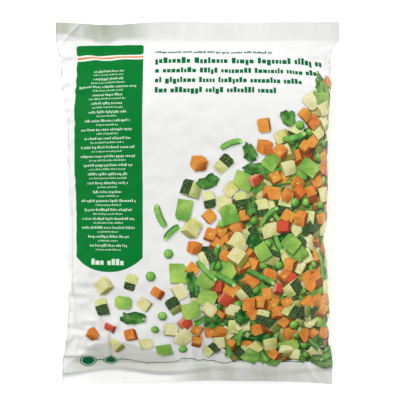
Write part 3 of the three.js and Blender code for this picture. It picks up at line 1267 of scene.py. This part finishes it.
def bean(rng, length, width, steps=7):
    """A cut of bean: a gently bent bar with blunt ends, bright along its middle, with a pale cut end."""
    bend = rng.uniform(-0.9, 0.9)
    spin = Quaternion((0, 0, 1), rng.uniform(0, 2 * math.pi))
    rows = []
    for step in range(steps + 1):
        along = step / steps - 0.5
        middle = Vector((along * length, bend * length * (0.25 - along**2) * 0.5, 0))
        across = Vector((bend * along, 1, 0)).normalized() * width / 2
        narrow = math.sqrt(1 - 0.6 * (2 * abs(along)) ** 9)
        row = []
        for share, shade in ((1, 0.5), (0.45, 1.0), (-0.2, 0.75), (-1, 0.15)):
            place = spin @ (middle + across * share * narrow)
            row.append((place.x, place.y, shade, along * length, share * width / 2))
        rows.append(row)
    facets = []
    for a, b in zip(rows, rows[1:]):
        for k in range(3):
            facets.append(([a[k], b[k], b[k + 1], a[k + 1]], 0.0, 0.0))
    tip = spin @ Vector((length * 0.47, 0, 0))
    facets.append((disc((tip.x, tip.y), width * 0.3, width * 0.3, 0.9), 1.0, 0.3))
    return facets


def leaf(rng, radius, lobes=9):
    """A scrap of crumpled leaf: a ragged outline with uneven light across it."""
    spin = Quaternion((0, 0, 1), rng.uniform(0, 2 * math.pi))
    stretch = rng.uniform(1.0, 1.5)

    def spot(turn, reach, shade):
        own = Vector((math.cos(turn) * stretch, math.sin(turn) / stretch, 0)) * reach * radius
        place = spin @ own
        return (place.x, place.y, shade, own.x, own.y)

    inner, outer = [], []
    for side in range(lobes):
        turn = 2 * math.pi * (side + rng.uniform(-0.2, 0.2)) / lobes
        inner.append(spot(turn, rng.uniform(0.4, 0.6), rng.uniform(0.1, 1.1)))
    for side in range(2 * lobes):
        turn = math.pi * (side + rng.uniform(-0.3, 0.3)) / lobes
        outer.append(spot(turn, rng.uniform(0.7, 1.12), rng.uniform(0.0, 0.75)))
    middle = spot(0.0, 0.0, rng.uniform(0.2, 0.9))
    facets = []
    for side in range(lobes):
        after = (side + 1) % lobes
        rim = [outer[(2 * side + step) % (2 * lobes)] for step in range(3)]
        facets.append(([middle, inner[side], inner[after]], 0.0, 0.0))
        facets.append(([inner[side], rim[0], rim[1]], 0.0, 0.0))
        facets.append(([inner[side], rim[1], inner[after]], 0.0, 0.0))
        facets.append(([inner[after], rim[1], rim[2]], 0.0, 0.0))
    return facets


# Half sizes of the cut blocks, and how far they may lean.
BLOCKS = {
    "carrot": ((6.1 * MM, 6.1 * MM, 6.0 * MM), (0.05, 0.75)),
    "pepper": ((5.9 * MM, 5.4 * MM, 3.9 * MM), (0.05, 0.8)),
    "potato": ((7.2 * MM, 7.1 * MM, 6.4 * MM), (0.05, 0.7)),
    "courgette": ((6.6 * MM, 7.1 * MM, 6.6 * MM), (0.55, 1.0)),
    "leek": ((10.4 * MM, 9.0 * MM, 1.2 * MM), (0.0, 0.6)),
}


PIECE_SIZES = (0.82, 1.05)
BLOCK_REACH = 1.38  # of a block from its middle, against its half size
PEA_RADIUS = 5.2 * MM
BEAN_LENGTHS, BEAN_WIDTH, BEAN_REACH = (17, 32), 7.0 * MM, 0.52
LEAF_RADIUS, LEAF_REACH = 10.5 * MM, 13 * MM


def vegetable(rng, kind):
    """The facets of one pictured piece, and its reach from its middle."""
    size = rng.uniform(*PIECE_SIZES)
    if kind in BLOCKS:
        half, lean = BLOCKS[kind]
        half = [length * size * rng.uniform(0.9, 1.1) for length in half]
        if kind == "courgette":
            tipped = Quaternion((0, 1, 0), -rng.uniform(*lean)) @ leaning(rng, 0.0, 0.2)
            facets = cut_block(rng, half, tipped, (0, 1))
        else:
            skin = (2, 1) if kind == "pepper" else None
            facets = cut_block(rng, half, leaning(rng, *lean), skin)
        if kind == "carrot" and rng.random() < CORE_OFTEN:
            core = disc((0, 0), rng.uniform(1.6, 2.6) * MM, rng.uniform(1.3, 2.0) * MM, 0.9)
            facets.append((core, 1.0, 0.3))
        return facets, BLOCK_REACH * max(half[0], half[1])
    if kind == "pea":
        return pea(PEA_RADIUS * size), PEA_RADIUS * size
    if kind == "bean":
        length = rng.uniform(*BEAN_LENGTHS) * MM
        return bean(rng, length, BEAN_WIDTH * size), length * BEAN_REACH
    return leaf(rng, LEAF_RADIUS * size), LEAF_REACH * size


KINDS = ("carrot", "pepper", "potato", "courgette", "leek", "pea", "bean", "leaf")
DEEP_SHARES = (0, 0, 0, 0, 6, 0, 0, 4)  # how often each kind lies at the bottom of the heap
UNDER_SHARES = (22, 2, 14, 6, 17, 11, 16, 13)  # within it
UPPER_SHARES = (33, 4, 15, 13, 6, 16, 10, 3)  # on top of it
FOOT_SHARES = (22, 4, 13, 8, 8, 14, 16, 15)  # on top of it along its foot
LOOSE_SHARES = (24, 5, 15, 10, 9, 18, 10, 9)  # and on its own beside it
# Edges on the flat film, as (place along the film, place across it): of the heap, and of the loose pieces.
HEAP_EDGE = in_mm(
    (20, 196), (60, 176), (105, 164), (150, 160), (190, 182),
    (222, 208), (262, 246), (300, 268), (345, 284),
)
LOOSE_EDGE = in_mm(
    (39, 120), (50, 30), (60, 27), (100, 30), (126, 60), (132, 106),
    (180, 108), (230, 130), (262, 168), (290, 212), (306, 246),
)
# The heap's lower edge, as (place across the film, place along it).
HEAP_FOOT = in_mm((185, 35), (245, 29), (290, 24), (303, 36))
HEAP_LOW, HEAP_HIGH = 24 * MM, 342 * MM
HEAP_RIGHT = 328 * MM
FOOT_TOP = 66 * MM  # below this the top of the heap is drawn by FOOT_SHARES
LOOSE_LOW, LOOSE_HIGH = HEAP_LOW + 15 * MM, 304 * MM
LOOSE_GAPS = (10.5 * MM, 23 * MM)  # least distance between loose pieces, next to the heap and far from it
LOOSE_TRIES = 6000
# The heap's layers: pitch against the setting's, distance inside the heap's edges, how much darker.
DEEP_LAYER, UNDER_LAYER, UPPER_LAYER = (1.15, 9 * MM, 0.6), (0.9, 0.0, 0.3), (1.1, 0.0, 0.0)
LOOSE_DARKER = -0.15
# The shadows: how dark at their inner edge in the heap and beside it, how far that edge lies inside a piece's
# outline, how far the outer one lies outside it, and how far both are shifted.
HEAP_SHADOW, LOOSE_SHADOW = 1.0, 0.72
SHADOW_INSIDE, SHADOW_INSIDE_RAGGED, SHADOW_OUTSIDE = 1.7 * MM, 4.2 * MM, 1.9 * MM
SHADOW_SHIFT = (0.8 * MM, -1.1 * MM)
SHADOW_CORNERS = 3.4 * MM  # least distance between the corners of a shadow


def edge_at(edge, place):
    """Where an edge lies at a place along it."""
    return float(np.interp(place, *zip(*edge)))


def heap_places(rng, pitch, inset):
    """Places in the heap about a pitch apart, this far inside its edges, in a random order."""
    rows = int((HEAP_HIGH - HEAP_LOW) / pitch) + 1
    places = []
    for row in range(rows):
        for column in range(int(HEAP_RIGHT / pitch) + 1):
            s = (column + 0.5 * (row % 2) + rng.uniform(-0.32, 0.32)) * pitch
            t = HEAP_LOW + (row + rng.uniform(-0.3, 0.3)) * pitch
            edge = edge_at(HEAP_EDGE, t) + rng.uniform(-7, 7) * MM
            if edge + inset < s < HEAP_RIGHT and edge_at(HEAP_FOOT, s) + inset < t < HEAP_HIGH - inset:
                places.append((s, t))
    rng.shuffle(places)
    return places


def loose_places(rng):
    """Places beside the heap, further apart the further away they are."""
    places = []
    for _ in range(LOOSE_TRIES):
        t = rng.uniform(LOOSE_LOW, LOOSE_HIGH)
        far, near = edge_at(LOOSE_EDGE, t), edge_at(HEAP_EDGE, t)
        share = rng.random()
        gap = mix(*LOOSE_GAPS, share**0.8)
        s = mix(near, far, share)
        if all(math.hypot(s - a, t - b) > gap for a, b in places):
            places.append((s, t))
    return places


def heap_prints(settings):
    """A Print for each kind of vegetable, and one for the soft shadows between them."""
    rng = random.Random(settings.heap_seed)
    sheets = {kind: Print("print_" + kind, "shade", "u", "v", "part", "tone") for kind in KINDS}
    shadows = Print("print_shade", "strength")
    layers = []
    for (pitch, inset, darker), shares in (
        (DEEP_LAYER, DEEP_SHARES),
        (UNDER_LAYER, UNDER_SHARES),
        (UPPER_LAYER, UPPER_SHARES),
    ):
        layers.append((heap_places(rng, settings.heap_pitch * pitch, inset), shares, darker, HEAP_SHADOW))
    layers.append((loose_places(rng), LOOSE_SHARES, LOOSE_DARKER, LOOSE_SHADOW))
    laid = []
    for places, shares, darker, strength in layers:
        for s, t in places:
            at_foot = shares == UPPER_SHARES and t < FOOT_TOP
            kind = rng.choices(KINDS, FOOT_SHARES if at_foot else shares)[0]
            facets, radius = vegetable(rng, kind)
            under = [level for a, b, r, level in laid if math.hypot(s - a, t - b) < r + radius]
            level = 1.0 + max(under, default=0.0)
            laid.append((s, t, radius, level))
            tone = rng.random()
            for corners, part, lift in facets:
                outline = [(s + x, t + y, shade - darker, u, v, part, tone) for x, y, shade, u, v in corners]
                sheets[kind].add(outline, level + lift)
            if shares != DEEP_SHARES:
                inside = SHADOW_INSIDE_RAGGED if kind in ("bean", "leaf") else SHADOW_INSIDE
                add_shadow(shadows, facets, s, t, level - 0.4, strength, inside)
    return sheets, shadows


def hull(points):
    """The corners of the convex outline round some points, the near ones left out."""
    points = sorted(set(points))
    sides = []
    for way in (points, points[::-1]):
        side = []
        for point in way:
            while len(side) > 1 and size_of([side[-2], side[-1], point]) <= 0:
                side.pop()
            side.append(point)
        sides += side[:-1]
    corners = [sides[0]]
    for point in sides[1:]:
        if math.dist(point, corners[-1]) > SHADOW_CORNERS:
            corners.append(point)
    return corners


def add_shadow(sheet, facets, s, t, level, strength, inside):
    """A soft shadow that reaches out from under a piece, down and to the right."""
    corners = hull([corner[:2] for outline, _, _ in facets for corner in outline])
    middle = (s + SHADOW_SHIFT[0], t + SHADOW_SHIFT[1])
    inner, outer = [], []
    for number, corner in enumerate(corners):
        before, after = corners[number - 1], corners[(number + 1) % len(corners)]
        out = Vector((after[1] - before[1], before[0] - after[0])).normalized()
        for ring, reach, share in ((inner, -inside, strength), (outer, SHADOW_OUTSIDE, 0.0)):
            spot = [middle[axis] + corner[axis] + out[axis] * reach for axis in (0, 1)]
            ring.append((*spot, share))
    for side in range(len(corners)):
        after = (side + 1) % len(corners)
        sheet.add([inner[side], outer[side], outer[after], inner[after]], level)


# Inks of each kind: in the light, in the shade, of other pieces in the light, and of its paler spots.
FOOD_INKS = {
    "carrot": ((222, 152, 66), (126, 62, 26), (209, 112, 46), (230, 164, 78)),
    "pepper": ((222, 140, 112), (128, 48, 34), (208, 108, 80), (232, 182, 156)),
    "potato": ((227, 222, 168), (128, 124, 52), (211, 204, 116), (233, 230, 194)),
    "courgette": ((221, 223, 158), (106, 118, 50), (198, 206, 108), (231, 229, 184)),
    "leek": ((176, 208, 94), (56, 106, 38), (102, 160, 62), (202, 220, 122)),
    "pea": ((134, 196, 84), (32, 88, 32), (102, 172, 66), (158, 206, 96)),
    "bean": ((122, 184, 84), (28, 78, 32), (80, 152, 60), (150, 200, 104)),
    "leaf": ((112, 176, 80), (20, 68, 30), (72, 142, 58), (142, 190, 100)),
}
# Cut corners that catch the light: distance of their edge from the middle of a side.
PALE_CORNERS = {"carrot": 4.9 * MM, "potato": 6.0 * MM, "courgette": 6.0 * MM}
CORNER_WIDTH = 1.1 * MM
# The ink of a carrot's core, a pea's gleam and a bean's cut end, and how strong it is.
PART_INKS = {"carrot": (0.5, (222, 198, 100)), "pea": (0.4, (220, 240, 190)), "bean": (1.0, (172, 206, 128))}
LEEK_WIDTH = 24 * MM
# Where the film turns down at the right: a painted sheen makes the print paler there, and a coat makes it
# glossier.
TURNED_SIDE = (266 * MM, 302 * MM)
TURNED_SHEEN_TONE = colour(188, 182, 156)


def food_finish(kind):
    """What each kind of vegetable looks like in print."""
    finish = Finish("print_" + kind, **INK_GLOSS)
    shade, tone, part, u, v = (finish.carried(name) for name in ("shade", "tone", "part", "u", "v"))
    own = finish.joined(u, v, tone * 5)
    grain = finish.noise(own, 700, 4, 0.6)
    cloud = finish.noise(own, 130, 2)
    light, dark, other, pale = (colour(*shown) for shown in FOOD_INKS[kind])
    bright = finish.blend(tone, light, other)
    bright = finish.blend(cloud.between(0.36, 0.68) * 0.55, bright, pale)
    base = finish.blend((shade + (cloud - 0.5) * 0.3).between(0.15, 1.0), dark, bright)
    base = finish.blend(grain.between(0.42, 0.62) * 0.22, base, dark)
    if kind in PALE_CORNERS:
        corner = PALE_CORNERS[kind]
        reach = finish.math("MAXIMUM", abs(u), abs(v))
        base = finish.blend(reach.between(corner, corner + CORNER_WIDTH) * (0.1 + shade * 0.3), base, pale)
    if kind in PART_INKS:
        share, shown = PART_INKS[kind]
        base = finish.blend(part * share, base, colour(*shown))
    if kind == "pepper":
        skin = finish.blend(shade.between(0.15, 1.0), colour(118, 36, 26), colour(200, 80, 54))
        base = finish.blend(part, base, skin)
    if kind == "courgette":
        speck = finish.noise(own, 1100, 2).between(0.52, 0.66)
        skin = finish.blend(speck, colour(38, 62, 36), colour(122, 148, 90))
        base = finish.blend(part, base, skin)
    if kind == "leaf":
        crumple = finish.cells(own, 420).between(0.15, 0.6)
        base = finish.blend(crumple * 0.4, base, colour(24, 78, 34))
    if kind == "leek":
        across = u / LEEK_WIDTH + 0.5
        base = finish.blend(across.between(0.1, 0.9) * (0.5 + tone * 0.35), base, colour(80, 146, 54))
        vein = finish.noise(finish.vector("MULTIPLY", own, (5.0, 0.5, 1.0)), 330, 2).between(0.48, 0.62)
        base = finish.blend(vein * 0.16, base, colour(196, 230, 140))
    # A painted sheen on the print where the film turns down, under a real coat.
    side = finish.parts(finish.flat())[0].between(*TURNED_SIDE)
    base = finish.blend(side * (0.08 + cloud * 0.2), base, TURNED_SHEEN_TONE)
    finish.set(Base_Color=base, Roughness=gloss(finish), Normal=crinkled(finish), Coat_Weight=side * 0.6)
    return finish.material


def shadow_finish():
    """The pictured pieces' shadows: a dark ink that thins out."""
    finish = Finish("print_shade", **INK_GLOSS)
    base = finish.blend(finish.noise(finish.flat(), 60, 2), colour(48, 44, 20), colour(68, 64, 34))
    thin = finish.carried("strength") ** 1.5 * 0.85
    finish.set(Base_Color=base, Roughness=gloss(finish), Normal=crinkled(finish), Alpha=thin)
    return finish.material


# The foot of the print: a thin waving line and two plain ovals

# The ovals: place across and along the flat film, half width and half height, in millimetres.
OVALS = ((28, 26.5, 9.5, 6.8), (53, 27.5, 8.6, 5.6))
OVAL_RINGS = ((0.0, 0.74), (0.86, 1.0))  # from and to which share of its size each ring reaches
# The line: its place along the film and its width, its two ends, the link between the ovals, and its waves as
# height, pitch and shift.
LINE_PLACE, LINE_WIDTH = 26.6 * MM, 1.1 * MM
LINE_ENDS, LINK_ENDS = (62 * MM, 300 * MM), (37 * MM, 45 * MM)
LINE_WAVES = ((2.6 * MM, 74 * MM, 0.6), (1.2 * MM, 29 * MM, 2.0))


def ring_parts(s, t, wide, high, share_in, share_out, sides=28):
    """The quads of an oval ring."""
    parts = []
    for side in range(sides):
        first, last = (2 * math.pi * (side + step) / sides for step in (0, 1))
        part = []
        for share, turn in ((share_in, first), (share_out, first), (share_out, last), (share_in, last)):
            part.append((s + wide * share * math.cos(turn), t + high * share * math.sin(turn)))
        parts.append(part)
    return parts


def foot_line_parts(steps=129):
    """A thin line that waves as a hill's edge does, in short quads."""
    places = np.linspace(*LINE_ENDS, steps + 1)
    lift = sum(height * wave(places, pitch, shift) for height, pitch, shift in LINE_WAVES) + LINE_PLACE
    low, high = (list(zip(places, lift + way * LINE_WIDTH / 2)) for way in (-1, 1))
    return [[low[k], low[k + 1], high[k + 1], high[k]] for k in range(steps)]


# Sizes that the operators use

# The header and the stripe, from and to which height above the panel, and the header's corners.
HEADER, HEADER_RADIUS = (6.2 * MM, 20 * MM), 3 * MM
STRIPE = (2.1 * MM, 4.3 * MM)
# Two kinds of rows that alternate: how far the first row lies below the one before, length, height and width
# of the blocks, in millimetres, the gap between two blocks against their width, and seed.
LABEL_GRID = {"rows": 21, "row_pitch": 9.25 * MM, "shortest": 0.5}
LABEL_ROWS = ((15, 64, 2.7, 1.0, 0.85, 4), (3.9, 42, 1.7, 0.7, 0.95, 9))
# The one large row: length, height and width, in millimetres, seed, and how far below the panel's shoulder.
BIG_ROW, BIG_ROW_SEED, BIG_ROW_DROP = (36, 6.6, 3.6), 5, 8 * MM
ROWS_TONE = colour(208, 228, 210)
# The rows above the heap: place along the film, and length, height and width of the blocks, in millimetres.
UPPER_LEFT = 106 * MM
UPPER_ROWS = (
    (366, 124, 3.2, 1.5),
    (352.5, 184, 8.0, 4.0),
    (340.5, 180, 6.6, 3.4),
    (329, 158, 6.6, 3.4),
    (317.5, 126, 6.6, 3.4),
)
LAP_MIDDLE, LAP_WIDTH, LAP_INSET, LAP_LIFT = FLAT_ROUND * 0.75, 12 * MM, 0.3 * MM, 0.2 * MM
# The marks beside the panel: place across and along the film and length, in millimetres, and seed, and then
# the height and width of their blocks, in millimetres.
SIDE_MARKS = ((12.6, 190, 128, 6), (14.8, 96, 210, 7))
MARK_SIZES, MARK_TONE = (1.0, 0.9), colour(176, 186, 178)
FLOOR_HALF = 4.0  # half the floor's width
KEY_PLACE, FILL_PLACE = (-1.0, 0.6, 0.85), (1.3, -0.1, 0.45)
AIM = (2.6 * MM, 3.6 * MM)  # the point that the camera is right above
SENSOR = 36.0  # width of the camera's sensor, in the same unit as its lens


# Operators


class BAG_OT_film(bpy.types.Operator):
    """The filled white film, with its seals and wrinkles"""

    bl_idname = "bag.film"
    bl_label = "Film"

    def execute(self, context):
        settings = context.scene.bag_film
        film = make_film(settings)
        film.data.materials.append(film_finish(settings))
        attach(film, "root")
        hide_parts("bag")
        return {"FINISHED"}


class BAG_OT_label(bpy.types.Operator):
    """The green label panel with its header, stripe and rows of blocks"""

    bl_idname = "bag.label"
    bl_label = "Label panel"

    def execute(self, context):
        settings = context.scene.bag_print
        left, right = settings.panel_left, settings.panel_left + settings.panel_width
        middle, top = (left + right) / 2, settings.panel_top
        panel = Print("label_panel")
        panel.add(panel_outline(settings))
        panel.add(rounded_outline(left, right, top + HEADER[0], top + HEADER[1], HEADER_RADIUS))
        wrap(panel, ink("label_green", tuple(settings.green)))
        stripe = Print("label_stripe")
        stripe.add(strip_outline(left, right, top + STRIPE[0], top + STRIPE[1]))
        wrap(stripe, ink("label_orange", tuple(settings.orange)))
        rows = Print("label_rows")
        foot = top
        for drop, length, height, width, gap, seed in LABEL_ROWS:
            foot = foot - drop * MM
            values = {"centred": 0.5, "gap": gap, "seed": seed, **LABEL_GRID}
            add_all(rows, block_rows(middle, foot, **block_sizes(length, height, width), **values), 1)
        foot = settings.panel_shoulder - BIG_ROW_DROP
        values = {"centred": 0.5, "seed": BIG_ROW_SEED}
        add_all(rows, block_rows(middle, foot, **block_sizes(*BIG_ROW), **values), 1)
        wrap(rows, ink("label_white", ROWS_TONE))
        return {"FINISHED"}


class BAG_OT_upper_rows(bpy.types.Operator):
    """The five rows of dark green blocks above the heap"""

    bl_idname = "bag.upper_rows"
    bl_label = "Upper rows"

    def execute(self, context):
        rows = Print("upper_rows")
        for seed, (t, *sizes) in enumerate(UPPER_ROWS, 1):
            add_all(rows, block_rows(UPPER_LEFT, t * MM, seed=seed, **block_sizes(*sizes)))
        wrap(rows, ink("rows_green", tuple(context.scene.bag_print.dark_green)))
        return {"FINISHED"}


class BAG_OT_back(bpy.types.Operator):
    """The lap seal along the back and the faint marks beside the panel"""

    bl_idname = "bag.back"
    bl_label = "Lap seal and side marks"

    def execute(self, context):
        tint = context.scene.bag_film.tint
        left, right = LAP_MIDDLE - LAP_WIDTH / 2, LAP_MIDDLE + LAP_WIDTH / 2
        lap = Print("lap_seal")
        lap.add(strip_outline(left, right, LAP_INSET, FLAT_LENGTH - LAP_INSET))
        wrap(lap, ink("lap_film", tuple(0.97 * v for v in tint), 0.05), LAP_LIFT)
        marks = Print("side_marks")
        for s, start, length, seed in SIDE_MARKS:
            sizes = block_sizes(length, *MARK_SIZES)
            add_all(marks, block_rows(s * MM, start * MM, turned=True, seed=seed, **sizes))
        wrap(marks, ink("mark_grey", MARK_TONE))
        return {"FINISHED"}


class BAG_OT_vegetables(bpy.types.Operator):
    """The pictured heap of diced vegetables, one piece for each kind"""

    bl_idname = "bag.vegetables"
    bl_label = "Pictured vegetables"

    def execute(self, context):
        sheets, shadows = heap_prints(context.scene.bag_print)
        for kind, sheet in sheets.items():
            wrap(sheet, food_finish(kind))
        wrap(shadows, shadow_finish())
        return {"FINISHED"}


class BAG_OT_foot(bpy.types.Operator):
    """The thin line and the two ovals at the foot of the print"""

    bl_idname = "bag.foot"
    bl_label = "Foot line"

    def execute(self, context):
        foot = Print("foot_line")
        for oval in OVALS:
            for shares in OVAL_RINGS:
                add_all(foot, ring_parts(*(size * MM for size in oval), *shares))
        add_all(foot, foot_line_parts())
        foot.add(strip_outline(*LINK_ENDS, LINE_PLACE, LINE_PLACE + LINE_WIDTH))
        wrap(foot, ink("foot_green", tuple(context.scene.bag_print.dark_green)))
        return {"FINISHED"}


class BAG_OT_stage(bpy.types.Operator):
    """A plain pale floor, soft light and the camera that looks down on the bag"""

    bl_idname = "bag.stage"
    bl_label = "Stage"

    def execute(self, context):
        settings = context.scene.bag_stage
        mesh = bpy.data.meshes.new("floor")
        corners = strip_outline(-FLOOR_HALF, FLOOR_HALF, -FLOOR_HALF, FLOOR_HALF)
        mesh.from_pydata([(x, y, 0) for x, y in corners], [], [(0, 1, 2, 3)])
        floor = link(mesh)
        glow = {"Emission_Color": (1, 1, 1, 1), "Emission_Strength": settings.floor_glow}
        finish = Finish("floor", Roughness=0.9, **glow)
        cloud = finish.noise(finish.place(), 3, 2)
        finish.set(Base_Color=finish.blend(cloud, colour(250, 250, 250), colour(248, 248, 248)))
        mesh.materials.append(finish.material)
        floor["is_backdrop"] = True
        world = bpy.data.worlds.new("studio")
        world.use_nodes = True
        sky = Graph(world.node_tree)
        _, towards_top, _ = sky.parts(sky.node("ShaderNodeTexCoord").outputs["Generated"])
        backdrop = world.node_tree.nodes["Background"]
        backdrop.inputs["Strength"].default_value = settings.sky
        sky.plug(backdrop.inputs["Color"], towards_top.between(-1, -0.2))
        context.scene.world = world
        self.light("key", KEY_PLACE, settings.key_size, settings.key_power)
        self.light("fill", FILL_PLACE, settings.key_size, settings.fill_power)
        camera = bpy.data.objects.new("camera", bpy.data.cameras.new("camera"))
        context.collection.objects.link(camera)
        camera.location = (*AIM, settings.camera_height)
        camera.data.sensor_width = SENSOR
        reach = settings.camera_height - SIDE_HEIGHT
        camera.data.lens = SENSOR * reach / settings.view_width
        context.scene.camera = camera
        context.scene.view_settings.view_transform = "Standard"
        return {"FINISHED"}

    def light(self, name, place, size, power):
        lamp = bpy.data.lights.new(name, "AREA")
        lamp.energy = power
        lamp.size = size
        thing = bpy.data.objects.new(name, lamp)
        thing.location = place
        thing.rotation_euler = (-Vector(place)).to_track_quat("-Z", "Y").to_euler()
        bpy.context.collection.objects.link(thing)


STEPS = (
    BAG_OT_film,
    BAG_OT_label,
    BAG_OT_upper_rows,
    BAG_OT_back,
    BAG_OT_vegetables,
    BAG_OT_foot,
    BAG_OT_stage,
)


class BAG_PT_steps(bpy.types.Panel):
    """Lists the steps that build the bag"""

    bl_idname = "BAG_PT_steps"
    bl_label = "Vegetable bag"
    bl_space_type = "VIEW_3D"
    bl_region_type = "UI"
    bl_category = "Vegetable bag"

    def draw(self, context):
        for step in STEPS:
            self.layout.operator(step.bl_idname)


CLASSES = (BagFilmSettings, BagPrintSettings, BagStageSettings, *STEPS, BAG_PT_steps)


def register():
    for part in CLASSES:
        bpy.utils.register_class(part)
    bpy.types.Scene.bag_film = PointerProperty(type=BagFilmSettings)
    bpy.types.Scene.bag_print = PointerProperty(type=BagPrintSettings)
    bpy.types.Scene.bag_stage = PointerProperty(type=BagStageSettings)


def unregister():
    del bpy.types.Scene.bag_stage
    del bpy.types.Scene.bag_print
    del bpy.types.Scene.bag_film
    for part in reversed(CLASSES):
        bpy.utils.unregister_class(part)


def main():
    register()
    for step in STEPS:
        group, name = step.bl_idname.split(".")
        getattr(getattr(bpy.ops, group), name)()
    boxes = [[list(corner) for corner in box] for box in (CAD_BOX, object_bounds())]


if __name__ == "__main__":
    main()
